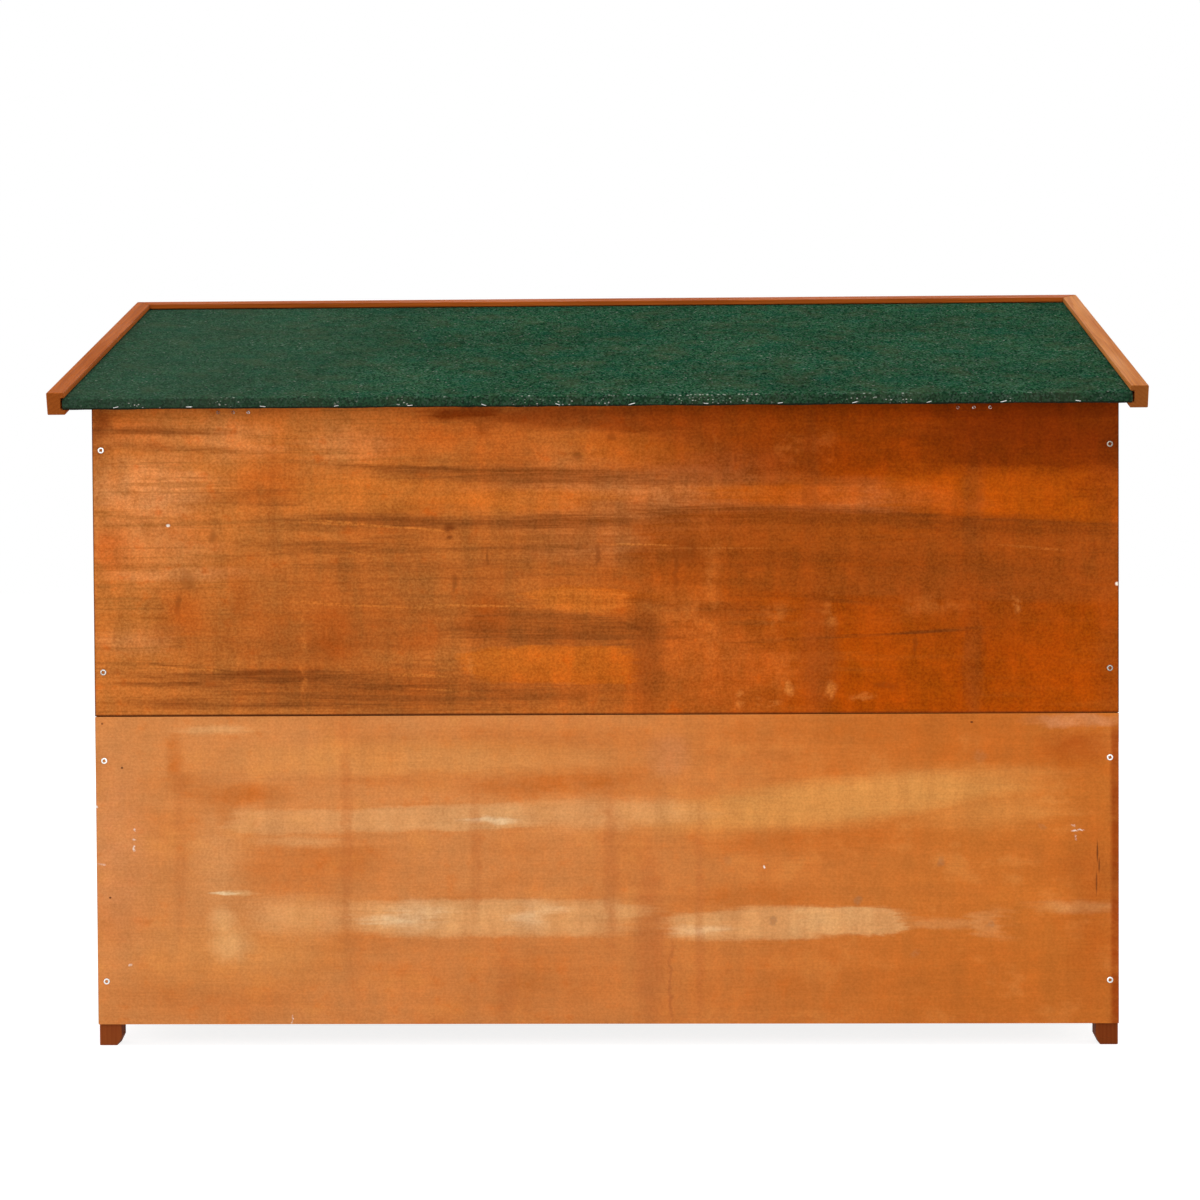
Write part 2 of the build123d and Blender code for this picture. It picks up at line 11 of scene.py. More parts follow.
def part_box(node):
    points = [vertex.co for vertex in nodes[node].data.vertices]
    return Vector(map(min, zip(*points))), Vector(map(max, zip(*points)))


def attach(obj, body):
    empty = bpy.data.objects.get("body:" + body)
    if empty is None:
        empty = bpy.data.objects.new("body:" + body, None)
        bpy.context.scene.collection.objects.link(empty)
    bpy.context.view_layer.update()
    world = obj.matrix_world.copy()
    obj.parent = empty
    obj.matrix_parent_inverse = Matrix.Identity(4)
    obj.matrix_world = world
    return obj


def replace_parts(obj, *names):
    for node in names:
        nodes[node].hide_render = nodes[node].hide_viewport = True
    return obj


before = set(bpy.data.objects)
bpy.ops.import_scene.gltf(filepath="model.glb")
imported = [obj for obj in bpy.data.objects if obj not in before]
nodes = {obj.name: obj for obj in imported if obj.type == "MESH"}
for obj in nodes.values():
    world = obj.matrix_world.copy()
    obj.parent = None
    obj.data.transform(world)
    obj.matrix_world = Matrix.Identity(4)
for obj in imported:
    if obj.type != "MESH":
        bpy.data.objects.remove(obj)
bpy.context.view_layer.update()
scene = bpy.context.scene
MM = 0.001

# The part's own sizes that the new pieces and the materials follow, in millimetres. On the roof, v
# runs down the slope from the back wall and n stands off the board's underside.
BACK_Y = 226.727
FRONT_Y = -228.273
ROOF_Z = 727.3
SLOPE = radians(15.5)
RUN, RISE = cos(SLOPE), sin(SLOPE)
EAVE_V = 33
FELT_FRONT_V = -489.67
FELT_HALF = 592.5
NOSE_Z = 718.5
BOARD = 10
FELT = 2.2
LEAF = 1.2
STICK = 42.05
HINGE_GAP = 1.25
HINGE_INSET = 60
KEEPER_REACH = 9.5
ROOF_HINGE_Z = 715.6
STAPLES, STAPLE_START, STAPLE_PITCH, STAPLE_N = 14, -533, 82, 2.4
RAMP = radians(39)


# ---- node helpers

ALONG = {
    "x": Euler((0, 0, 0)),
    "y": Euler((0, 0, pi / 2)),
    "z": Euler((0, -pi / 2, 0)),
    "slope": (Matrix.Rotation(-SLOPE, 3, "X") @ Matrix.Rotation(pi / 2, 3, "Z")).to_euler(),
    "tilted_x": Euler((-SLOPE, 0, 0)),
    "ramp": Euler((0, -RAMP, 0)),
}


class Shader:
    """A material's or world's nodes, the colour so far, and short calls for the nodes in use."""

    def __init__(self, name, kind="materials"):
        self.owner = getattr(bpy.data, kind).new(name)
        self.owner.use_nodes = True
        self.tree = self.owner.node_tree
        self.tree.nodes.clear()
        coordinates = self.tree.nodes.new("ShaderNodeTexCoord")
        self.at = coordinates.outputs["Object"]
        self.facing = coordinates.outputs["Normal"]

    def put(self, socket, value):
        if isinstance(value, bpy.types.NodeSocket):
            self.tree.links.new(value, socket)
        elif value is not None:
            if socket.type == "RGBA" and len(value) == 3:
                value = (*value, 1)
            socket.default_value = value

    def add(self, kind, values, out=0, **settings):
        """A node with its settings, its inputs by name or number, and one of its outputs."""
        node = self.tree.nodes.new("ShaderNode" + kind)
        for name, value in settings.items():
            setattr(node, name, value)
        for name, value in dict(values).items():
            self.put(node.inputs[name], value)
        return node.outputs[out]

    def math(self, operation, *values):
        return self.add("Math", enumerate(values), operation=operation)

    times = partialmethod(math, "MULTIPLY")
    plus = partialmethod(math, "ADD")
    most = partialmethod(math, "MAXIMUM")

    def vector(self, operation, *values, out=0):
        return self.add("VectorMath", enumerate(values), out=out, operation=operation)

    def mix(self, share, a, b, blend="MIX"):
        values = {0: share, 6: a, 7: b}
        return self.add("Mix", values, out=2, data_type="RGBA", blend_type=blend)

    def mix_vector(self, share, a, b):
        return self.add("Mix", {0: share, 4: a, 5: b}, out=1, data_type="VECTOR")

    def over(self, share, tint):
        """A tint laid over the colour so far."""
        self.colour = self.mix(share, self.colour, tint)

    def shaded(self, red, green=None, blue=None):
        """The colour so far times one factor, or one for each channel."""
        values = {0: red, 1: green or red, 2: blue or red}
        self.colour = self.mix(1, self.colour, self.add("CombineColor", values), "MULTIPLY")

    def step(self, value, low, high, to_low=0, to_high=1):
        """A smooth rise from one value to another."""
        values = enumerate((value, low, high, to_low, to_high))
        return self.add("MapRange", values, interpolation_type="SMOOTHSTEP")

    def apart(self, vector):
        node = self.tree.nodes.new("ShaderNodeSeparateXYZ")
        self.put(node.inputs[0], vector)
        return node.outputs

    def stretched(self, vector, scale, shift=(0, 0, 0)):
        return self.vector("MULTIPLY_ADD", vector, scale, shift)

    def noise(self, vector, detail, roughness, out=0):
        values = {"Vector": vector, "Scale": 1, "Detail": detail, "Roughness": roughness}
        return self.add("TexNoise", values, out=out)

    def grain(self, scale, detail, shift=(0, 0, 0), roughness=0.6, vector=None):
        """Noise stretched by a scale on each axis."""
        return self.noise(self.stretched(vector or self.at, scale, shift), detail, roughness)

    def cells(self, vector, scale):
        """Voronoi cells: the distance from each middle, and a random colour for each."""
        node = self.tree.nodes.new("ShaderNodeTexVoronoi")
        self.put(node.inputs["Vector"], vector)
        self.put(node.inputs["Scale"], scale)
        return node.outputs["Distance"], node.outputs["Color"]

    def turned(self, vector, turn):
        """The vector as seen from a turned frame."""
        return self.add("Mapping", {"Vector": vector, "Rotation": turn}, vector_type="TEXTURE")

    def patch(self, where, x, z, half_x, half_z, amount, tilt=0, *, soft):
        """A soft-edged mark on the back: its middle and half sizes in mm, strength and slope."""
        mark = self.tree.nodes.new("ShaderNodeTexGradient")
        mark.gradient_type = "SPHERICAL"
        place = mark.texture_mapping
        place.vector_type = "TEXTURE"
        place.translation = (x * MM, BACK_Y * MM, z * MM)
        place.rotation = (0, -radians(tilt), 0)
        reach = (1 + soft) * MM
        place.scale = (half_x * reach, 1, half_z * reach)
        self.put(mark.inputs[0], where)
        return self.step(mark.outputs[1], 0, 2 * soft / (1 + soft), 0, amount)

    def block(self, where, x, z, half_x, half_z, amount, tilt=0, *, soft):
        """The same with squarer ends."""
        values = {
            "Vector": where,
            "Location": (x * MM, BACK_Y * MM, z * MM),
            "Rotation": (0, -radians(tilt), 0),
            "Scale": (half_x * MM, 1, half_z * MM),
        }
        inside = self.add("Mapping", values, vector_type="TEXTURE")
        squared = self.vector("MULTIPLY", inside, inside)
        reach = self.vector("DOT_PRODUCT", squared, squared, out=1)
        return self.step(reach, 1 + soft, 1 - soft, 0, amount)

    def marks(self, where, patches, blocks=None):
        """The strongest of several marks at each point, from tables of rows by softness."""
        made = [
            make(where, *row, soft=soft)
            for make, table in ((self.patch, patches), (self.block, blocks or {}))
            for soft, rows in table.items() for row in rows
        ]
        return reduce(self.most, made)

    def lay(self, tint, by, where, patches, blocks=None):
        """Marks of a tint over the colour so far, their strength times a factor."""
        self.over(self.times(self.marks(where, patches, blocks), by), tint)

    def edge(self, facing):
        """1 on the small bevels, where a piece's normal leaves its own three axes."""
        x, y, z = self.apart(self.vector("ABSOLUTE", facing))
        return self.step(self.most(self.most(x, y), z), 0.985, 0.86)

    def seen(self, usual, seen):
        """One shader for the light given, another where it is seen, mirrored or through glass."""
        rays = self.tree.nodes.new("ShaderNodeLightPath").outputs
        direct = self.plus(rays["Is Camera Ray"], rays["Is Glossy Ray"])
        direct = self.plus(direct, rays["Is Transmission Ray"])
        return self.add("MixShader", {0: direct, 1: usual, 2: seen})

    def output(self, surface, kind="Material"):
        out = self.tree.nodes.new("ShaderNodeOutput" + kind)
        self.put(out.inputs["Surface"], surface)
        return self.owner

    def finish(self, roughness, height, bump, depth, specular=0.5, metallic=0):
        """The colour so far as a surface, with bump from a height and a depth in mm."""
        bumps = {"Strength": bump, "Distance": depth * MM, "Height": height}
        return self.output(self.add("BsdfPrincipled", {
            "Base Color": self.colour, "Roughness": roughness, "Metallic": metallic,
            "Specular IOR Level": specular, "Normal": self.add("Bump", bumps),
        }))


# ---- camera and light

CAMERA_PLACE = (-0.07764, 3.20803, 0.58784)
CAMERA_LENS = 79.805
YAW, PITCH, ROLL = (radians(a) for a in (1.4208, 1.6337, -0.3343))
ROOM_LIGHT = 0.64
LAMP_AIM = Vector((0, 0, 0.45))
LAMPS = (
    ("lamp_back", (0.35, 3.7, 1.25), 3, 69),
    ("lamp_front", (-0.35, -3.7, 1.25), 3, 69),
    ("lamp_left", (-3.7, 0, 1.15), 1.4, 36),
    ("lamp_right", (3.7, 0, 1.15), 1.4, 36),
    ("lamp_top", (0, 0, 3.5), 2.4, 22),
)
FLOOR_HALF = 20
FLOOR_GREY, FLOOR_SHADE, FLOOR_GLOW = (0.8, 0.8, 0.8), (0.36, 0.36, 0.36), 0.84


def place_camera():
    """The photograph's view: low and nearly square to the plain back."""
    data = bpy.data.cameras.new("camera")
    data.sensor_width = 36
    data.lens = CAMERA_LENS
    data.clip_end = 50
    camera = bpy.data.objects.new("camera", data)
    camera.matrix_world = (
        Matrix.Translation(CAMERA_PLACE) @ Matrix.Rotation(pi + YAW, 4, "Z")
        @ Matrix.Rotation(pi / 2 - PITCH, 4, "X") @ Matrix.Rotation(ROLL, 4, "Z")
    )
    scene.collection.objects.link(camera)
    scene.camera = camera


def light_scene():
    """An even white room with a soft lamp before each side and one above."""
    sh = Shader("room", "worlds")
    even = sh.add("Background", {"Color": (1, 1, 1), "Strength": ROOM_LIGHT})
    scene.world = sh.output(sh.seen(even, sh.add("Background", {"Color": (1, 1, 1)})), "World")
    for name, place, size, power in LAMPS:
        data = bpy.data.lights.new(name, "AREA")
        data.size = size
        data.energy = power
        lamp = bpy.data.objects.new(name, data)
        lamp.location = place
        lamp.rotation_euler = (LAMP_AIM - lamp.location).to_track_quat("-Z", "Y").to_euler()
        scene.collection.objects.link(lamp)


def lay_floor():
    """A floor that lights the object as matt grey, and is seen white with the object's shadow."""
    mesh = bpy.data.meshes.new("floor")
    s = FLOOR_HALF
    mesh.from_pydata([(-s, -s, 0), (s, -s, 0), (s, s, 0), (-s, s, 0)], [], [(0, 1, 2, 3)])
    floor = bpy.data.objects.new("floor", mesh)
    scene.collection.objects.link(floor)
    sh = Shader("floor_white")
    matt, shade = (sh.add("BsdfDiffuse", {"Color": tint}) for tint in (FLOOR_GREY, FLOOR_SHADE))
    glow = sh.add("Emission", {"Strength": FLOOR_GLOW})
    white = sh.add("AddShader", {0: shade, 1: glow})
    mesh.materials.append(sh.output(sh.seen(matt, white)))


# ---- the ply back

WALL_LIGHT, WALL_DARK = (0.56, 0.18, 0.038), (0.42, 0.1, 0.016)


def back_warps(sh):
    """Coordinates that run along the veneer's fibres, that wander a little, and that blot."""
    long_wave = sh.noise(sh.stretched(sh.at, (4, 1, 55)), 3, 0.6, out=1)
    fibre = sh.noise(sh.stretched(sh.at, (18, 1, 330), (3, 0, 7)), 2, 0.6, out=1)
    blot = sh.noise(sh.stretched(sh.at, (45, 1, 60), (1, 0, 2)), 4, 0.65, out=1)
    at = sh.stretched(long_wave, (0.1, 0, 0.012), sh.at)
    gentle = sh.vector("SUBTRACT", at, (0.05, 0, 0.006))
    at = sh.stretched(fibre, (0.035, 0, 0.003), gentle)
    at = sh.stretched(blot, (0.03, 0, 0.01), at)
    feathered = sh.vector("SUBTRACT", at, (0.0325, 0, 0.0065))
    at = sh.stretched(blot, (0.018, 0, 0.018), sh.at)
    return feathered, gentle, sh.vector("SUBTRACT", at, (0.009, 0, 0.009))


def veneer(sh, seed):
    """A stained veneer's figure at several sizes, each a noise of about 0 to 1."""
    return SimpleNamespace(
        fibres=sh.grain((20, 500, 640), 2, (seed, 0, seed)),
        streaks=sh.grain((4, 60, 75), 4, (seed, 1, 0)),
        clouds=sh.grain((8, 9, 13), 4, (0, seed, 1)),
        mottle=sh.grain((40, 40, 52), 5, (seed, 4, 2), 0.65),
        speckle=sh.grain((330, 330, 370), 2, (2, seed, 5), 0.7),
        upright=sh.grain((44, 44, 9), 4, (seed, 3, 6), 0.62),
        drift=sh.grain((24, 24, 30), 3, (7, 2, seed), 0.55),
    )


def ply_edge(sh, across, pale, dark, lines):
    """The cut plies on the sides of a sheet, in place of the face's colour. lines are in mm."""
    axis = "xyz".index(across)
    side = sh.step(sh.apart(sh.vector("ABSOLUTE", sh.facing))[axis], 0.75, 0.45)
    ply = sh.math("SINE", sh.times(sh.apart(sh.at)[axis], tau / (lines * MM)))
    rough = sh.grain((300, 300, 300), 2)
    sh.over(side, sh.mix(sh.step(sh.plus(ply, rough), -0.1, 0.9), dark, pale))


# Marks on the back, by the softness of their edges: the middle's x and z, half the width and half
# the height in mm, the strength and, where they slope, the slope in degrees
UPPER_GREY = {
    0.25: ((62, 471, 116, 22.5, 0.75),),
    0.3: ((-34, 465, 46, 17, 0.75),),
    0.5: ((487, 695, 74, 4.6, 0.45, 1), (468, 676, 62, 4.3, 0.35, 1), (96, 645, 139, 8.1, 0.85, 1),
        (-66, 638, 139, 7, 0.65, 1), (-236, 633, 92, 3.9, 0.4), (387, 626, 54, 3.5, 0.4),
        (406, 611, 58, 3.9, 0.35), (212, 592, 128, 7.7, 0.7, 1), (42, 591, 100, 10.1, 0.75),
        (-120, 604, 100, 10.1, 0.7, 1), (-274, 598, 115, 8.5, 0.6, 2),
        (-489, 581, 107, 11.6, 0.75, 3), (155, 554, 232, 46.5, 0.5), (8, 479, 46, 5.4, 0.6),
        (361, 418, 82, 9.7, 0.95), (490, 420, 78, 4.6, 0.65, 1), (233, 407, 89, 10.1, 0.5, 1),
        (194, 428, 28, 5, 0.65, 5), (101, 401, 97, 9.7, 0.6), (334, 385, 187, 5.8, 0.6),
        (455, 387, 74, 3.5, 0.6), (-139, 491, 73, 7.7, 0.5), (-185, 477, 35, 2.7, 0.5)),
    0.8: ((300, 399, 175, 26, 0.75),),
    0.9: ((210, 470, 90, 40, 0.35), (430, 452, 110, 30, 0.3)),
}
UPPER_BAND = {0.3: ((-338, 550, 296, 46, 0.85, 2.4),)}
# Deep brown stain marks, those along the top with painted shade under the eave
UPPER_DEEP_STAIN_AND_EAVE_SHADE = {
    0.3: ((-59, 705, 92, 17, 0.6),),
    0.5: ((146, 712, 46, 7.7, 0.75), (128, 699, 12, 11.6, 0.4), (26, 707, 100, 13.2, 0.6),
        (-504, 689, 99, 34.9, 0.55)),
    0.8: ((563, 702, 15, 27.1, 0.6), (563, 690, 12, 26, 0.45)),
    0.9: ((-562, 632, 20, 26, 0.45), (-500, 648, 60, 14, 0.4), (-440, 465, 100, 70, 0.16),
        (315, 447, 75, 20, 0.2), (122, 500, 30, 40, 0.2), (-548, 668, 36, 40, 0.3)),
}
UPPER_BRIGHT = {
    0.3: ((12, 505, 58, 11.6, 0.8),),
    0.5: ((-27, 503, 35, 9.3, 0.5), (-43, 667, 65, 20.1, 0.6), (-220, 621, 108, 12.4, 0.75, 2),
        (231, 624, 116, 19.4, 0.35), (77, 615, 108, 13.9, 0.6), (-150, 433, 77, 42.6, 0.35),
        (-343, 440, 58, 46.5, 0.3)),
}
UPPER_BRIGHT_BLOCKS = {0.4: ((51, 430, 100, 20.9, 0.85),), 0.6: ((-450, 618, 142, 32.5, 0.75, 3),)}
UPPER_COLUMNS = {
    0.5: ((-56, 441, 16, 69.7, 0.7), (-248, 444, 20, 69.7, 0.65), (-421, 443, 11, 77.5, 0.5),
        (-240, 640, 10, 70, 0.55), (-421, 616, 12, 70, 0.5), (364, 544, 5, 155, 0.25)),
    0.8: ((-577, 665, 22, 85, 0.45), (-575, 508, 16, 190, 0.35), (363, 470, 24, 32.5, 0.5)),
    0.9: ((300, 490, 120, 50, 0.55), (-400, 505, 120, 40, 0.35), (-545, 538, 40, 36, 0.3),
        (315, 450, 90, 22, 0.4)),
}
UPPER_KNOTS = {0.5: ((166, 584, 7, 4.6, 0.9), (165, 573, 4, 3.9, 0.8), (159, 523, 3, 8.5, 0.6),
    (122, 551, 2, 7, 0.6), (-2, 553, 3, 10.8, 0.6), (20, 664, 5, 3.5, 0.6), (432, 575, 5, 6.2, 0.5),
    (-89, 534, 3, 23.2, 0.45), (-100, 557, 15, 15.5, 0.35), (-323, 405, 13, 4.6, 0.5),
    (-355, 451, 3, 8.5, 0.5), (470, 498, 3, 13.2, 0.5), (461, 527, 7, 11.6, 0.35),
    (-18, 686, 4, 3.1, 0.6))}
UPPER_LIGHTS = {
    0.5: ((-159, 390, 6, 9.3, 0.7), (-215, 404, 5, 8.5, 0.75), (-262, 398, 5, 9.3, 0.7),
        (-190, 388, 16, 5, 0.5), (-300, 392, 14, 5, 0.45), (-470, 495, 5, 8.5, 0.6),
        (144, 430, 4, 8.5, 0.5)),
    0.8: ((-256, 675, 11, 15.5, 0.16), (-216, 673, 15, 13.9, 0.16), (-60, 494, 20, 6, 0.3),
        (330, 439, 3, 64, 0.4), (-133, 635, 2, 78, 0.12)),
    0.9: ((-261, 484, 6, 19, 0.35), (-105, 487, 28, 16, 0.3), (-205, 484, 16, 12, 0.3),
        (-372, 494, 34, 8, 0.25), (-209, 425, 16, 24, 0.2), (-128, 505, 9, 72, 0.28)),
}
UPPER_LINES = {0.5: ((250, 587, 83, 1.6, 0.5, 4.9), (285, 588, 53, 1, 0.4, 1.9),
    (273, 557, 28, 1, 0.3, 12.4), (273, 500, 81, 1.6, 0.35, 3.1), (136, 497, 57, 1.8, 0.5, 1.3),
    (203, 418, 30, 1.6, 0.45, 2.2), (177, 403, 41, 1.4, 0.35, 3.1), (451, 427, 39, 1.2, 0.45, 4.5),
    (-44, 565, 40, 1.4, 0.5, 2), (-133, 560, 56, 1.2, 0.3, 0.7), (-484, 559, 38, 1.2, 0.25, 3.3))}
UPPER_PALE = {
    0.8: ((502, 629, 55, 32.7, 0.75), (484, 535, 73, 7.5, 0.5), (520, 459, 39, 12.4, 0.45),
        (408, 685, 38, 20.4, 0.4), (280, 678, 40, 18.4, 0.35), (-140, 433, 70, 40, 0.1),
        (-52, 618, 137, 42, 0.38), (-21, 564, 84, 17, 0.35), (-300, 613, 90, 18, 0.4, 1),
        (500, 690, 70, 16, 0.25)),
    0.9: ((510, 575, 60, 40, 0.4),),
}
UPPER_RED = {
    0.8: ((368, 634, 34, 30.5, 0.3), (547, 561, 18, 20.4, 0.5), (298, 462, 24, 24.4, 0.55),
        (201, 458, 24, 12.3, 0.45), (126, 482, 26, 26.4, 0.6), (401, 507, 10, 20.3, 0.4),
        (-36, 497, 32, 12.3, 0.4), (-294, 483, 32, 16.3, 0.3), (-512, 430, 70, 52.7, 0.35),
        (470, 490, 26, 30, 0.35)),
    0.9: ((115, 668, 45, 30, 0.35), (170, 688, 75, 20, 0.4), (530, 698, 40, 16, 0.3),
        (188, 408, 146, 20, 0.4)),
}
UPPER_EDGES = {0.5: ((-169, 605, 141, 2.2, 0.45, 2.4), (-434, 591, 148, 2.2, 0.35, 3.3),
    (205, 652, 71, 1.6, 0.3, 3.6), (64, 646, 91, 2.6, 0.3, 1), (273, 599, 57, 1.6, 0.25, -0.5),
    (196, 593, 36, 2.4, 0.3, 6.7), (449, 429, 41, 1.4, 0.4, 5.1), (372, 423, 49, 2.6, 0.35, 0.7),
    (-36, 474, 32, 2, 0.35, 16), (-284, 500, 54, 2, 0.3, 5.4), (483, 694, 73, 2, 0.3, 2.4),
    (484, 416, 63, 1.6, 0.3, 5.8), (-291, 462, 135, 2.6, 0.8, -3.5))}
UPPER_UMBER = {
    0.5: ((62, 472, 110, 16, 0.5),),
    0.6: ((361, 418, 95, 8, 0.85), (465, 410, 80, 4, 0.7, 1)),
    0.7: ((238, 405, 115, 8, 0.75, 1), (470, 390, 85, 4, 0.6), (330, 387, 150, 5, 0.6),
        (120, 398, 90, 6, 0.5, 1), (205, 650, 85, 4, 0.6, 3.6), (-120, 496, 150, 4, 0.45, 2),
        (-240, 505, 90, 5, 0.45, 3), (487, 695, 76, 5, 0.4, 1), (487, 675, 66, 3, 0.35, 2)),
    0.8: ((-165, 597, 155, 11, 0.5, 2), (-434, 585, 150, 10, 0.6, 2.8), (205, 591, 140, 8, 0.55, 1),
        (40, 590, 105, 10, 0.55), (62, 641, 135, 9, 0.6, 1), (-70, 637, 120, 6, 0.5, 1.5),
        (250, 393, 160, 13, 0.5), (400, 618, 80, 6, 0.4), (300, 565, 120, 6, 0.35, 1),
        (60, 560, 120, 6, 0.35)),
    0.9: ((-300, 545, 250, 10, 0.35, 1),),
}
UPPER_CLEAR = {0.6: ((20, 502, 52, 11, 0.6, 1),)}
UPPER_FLECKS = {0.5: ((482, 589, 2, 1.5, 1), (-581, 518, 2, 1.9, 1))}
LOWER_PALE = {
    0.6: ((-17, 152, 35, 12.4, 0.6),),
    0.7: ((25, 261, 62, 15.5, 0.4), (-45, 264, 62, 12.4, 0.35), (337, 147, 58, 18.6, 0.35),
        (224, 146, 43, 14.7, 0.5), (68, 148, 37, 15.5, 0.45)),
    0.8: ((110, 261, 43, 8.5, 0.5, -2), (351, 232, 51, 5.4, 0.3), (399, 174, 20, 4, 0.7, 3),
        (432, 358, 39, 4.6, 0.4), (-184, 139, 81, 11.6, 0.45), (-388, 137, 58, 4.6, 0.25),
        (-440, 137, 16, 13.2, 0.3), (-536, 156, 42, 6.2, 0.3), (398, 256, 23, 13.2, 0.3)),
}
LOWER_PALE_BLOCKS = {
    0.4: ((-286, 140, 60, 16.5, 0.65),),
    0.9: ((-211, 138, 136, 17, 0.55, -1.5),),
    0.95: ((349, 255, 72, 14, 0.32), (172, 259, 130, 13.4, 0.45, -1.2), (123, 145, 160, 21, 0.5)),
}
LOWER_WHITE = {
    0.7: ((406, 174, 10, 2.6, 0.8, 3),),
    0.8: ((115, 256, 20, 3.2, 0.6, 2), (232, 141, 28, 5.5, 0.55, 3), (-107, 129, 30, 4.5, 0.4)),
    0.9: ((208, 146, 20, 14, 0.35), (75, 148, 20, 13, 0.35)),
}
LOWER_OVALS = {
    0.8: ((424, 142, 14, 16, 0.55), (416, 118, 20, 18, 0.5)),
    0.9: ((430, 205, 26, 46, 0.25),),
}
LOWER_TAN = {
    0.5: ((-281, 277, 200, 24, 0.75, -6), (-138, 266, 77, 13.9, 0.5, -3),
        (195, 325, 194, 19.4, 0.3)),
    0.9: ((-439, 264, 67, 17, 0.4), (406, 101, 102, 31, 0.3)),
}
LOWER_PINK = {
    0.5: ((-538, 365, 50, 7, 0.5), (-80, 328, 23, 23.2, 0.25)),
    0.9: ((545, 215, 30, 95, 0.3),),
}
LOWER_DARK = {
    0.7: ((44, 297, 89, 15, 0.65), (203, 300, 78, 8.5, 0.4), (-446, 336, 142, 19.4, 0.55),
        (-230, 234, 116, 15.5, 0.5), (-176, 169, 70, 13.2, 0.4)),
    0.8: ((405, 285, 39, 11, 0.55), (336, 201, 101, 31, 0.35), (-538, 195, 42, 34.9, 0.45),
        (-365, 75, 247, 50.4, 0.3), (100, 80, 155, 62, 0.25), (439, 61, 101, 23.2, 0.3),
        (60, 345, 180, 14, 0.35), (-330, 355, 190, 18, 0.55), (-530, 325, 52, 26, 0.9)),
    0.9: ((-548, 141, 30, 101, 0.45), (-272, 314, 45, 34, 0.4)),
}
LOWER_SMUDGES = {0.9: ((477, 325, 8, 24, 0.55), (470, 300, 12, 10, 0.4), (425, 270, 6, 20, 0.3))}
LOWER_RED = {0.9: ((-540, 338, 36, 14, 0.45), (-556, 150, 24, 105, 0.22))}
LOWER_COLUMNS = {0.5: ((284, 244, 6, 127.8, 0.4), (138, 220, 6, 69.7, 0.35),
    (104, 64, 11, 46.5, 0.3), (-14, 196, 8, 85.2, 0.45), (-58, 119, 17, 93, 0.55),
    (-81, 72, 2, 46.5, 0.75), (-114, 142, 5, 116.2, 0.35), (275, 80, 11, 46.5, 0.2),
    (472, 221, 7, 93, 0.25))}
LOWER_SPOTS = {0.5: ((-197, 140, 4, 3.9, 0.7), (-292, 164, 5, 4.6, 0.65), (-385, 207, 5, 5, 0.6),
    (-441, 137, 4, 3.9, 0.6), (-497, 246, 4, 3.1, 0.45), (-355, 104, 5, 4.6, 0.4),
    (-429, 324, 7, 7, 0.3), (-145, 209, 5, 4.6, 0.3))}
LOWER_NAILS = {0.5: ((537, 316, 1.3, 1.2, 0.9), (552, 169, 1.3, 1.1, 0.9),
    (559, 366, 1.2, 1.2, 0.7), (-419, 364, 1.6, 1, 0.9), (-559, 218, 0.9, 10.8, 0.7),
    (-561, 203, 0.9, 7.7, 0.6), (-558, 183, 0.9, 11.6, 0.6))}
LOWER_FLECKS = {0.5: ((525, 246, 1.5, 1.6, 0.9), (524, 235, 1.5, 1.2, 0.6),
    (525, 224, 1.5, 2.4, 0.9), (-186, 202, 1, 1.2, 1), (-538, 241, 6, 0.8, 0.7),
    (-534, 246, 2, 1.2, 0.5), (-537, 234, 1, 3, 0.45), (349, 30, 0.8, 3.9, 0.7),
    (530, 92, 2, 1.2, 0.5), (562, 206, 4, 1.2, 0.4), (568, 274, 2, 1.5, 0.8))}


def finish_back(sh, veins, contrast, tint):
    """Warm and cool patches, grain contrast, ply edges, dark corners and the panels' surface."""
    hue = sh.step(sh.plus(veins.upright, veins.drift), 0.7, 1.3)
    cool = (1 - 0.3 * tint, 1 + 0.25 * tint, 1 + 0.9 * tint)
    warm = (1 + 0.25 * tint, 1 - 0.35 * tint, 1 - 0.9 * tint)
    sh.colour = sh.mix(1, sh.colour, sh.mix(hue, cool, warm), "MULTIPLY")
    shade = 1
    for vein, by in (
        (veins.fibres, 0.035), (veins.streaks, 0.035), (veins.upright, 0.62 * contrast),
        (veins.drift, 0.45 * contrast), (veins.mottle, 0.55 * contrast), (veins.speckle, contrast),
    ):
        shade = sh.plus(shade, sh.step(vein, 0.25, 0.75, -by, by))
    specks = sh.step(veins.speckle, 0.25, 0.75, -contrast, contrast)
    green, blue = (sh.math("MULTIPLY_ADD", specks, more, shade) for more in (0.45, 0.8))
    sh.shaded(shade, green, blue)
    # Dark bevelled corners
    sh.over(sh.times(sh.edge(sh.facing), 0.5), (0.13, 0.028, 0.005))
    # The inside faces, which the photo doesn't show, have a plain stain
    inside = sh.mix(sh.step(veins.streaks, 0.35, 0.7), WALL_LIGHT, WALL_DARK)
    sh.over(sh.step(sh.apart(sh.facing)[1], 0.1, -0.4), inside)
    ply_edge(sh, "y", (0.42, 0.17, 0.055), (0.11, 0.028, 0.007), 4)
    roughness = sh.plus(
        sh.step(veins.clouds, 0.3, 0.7, 0.58, 0.72), sh.step(veins.speckle, 0.3, 0.7, -0.06, 0.06)
    )
    height = sh.plus(veins.fibres, sh.times(veins.speckle, 0.8))
    return sh.finish(roughness, height, 0.14, 0.4, specular=0.008)


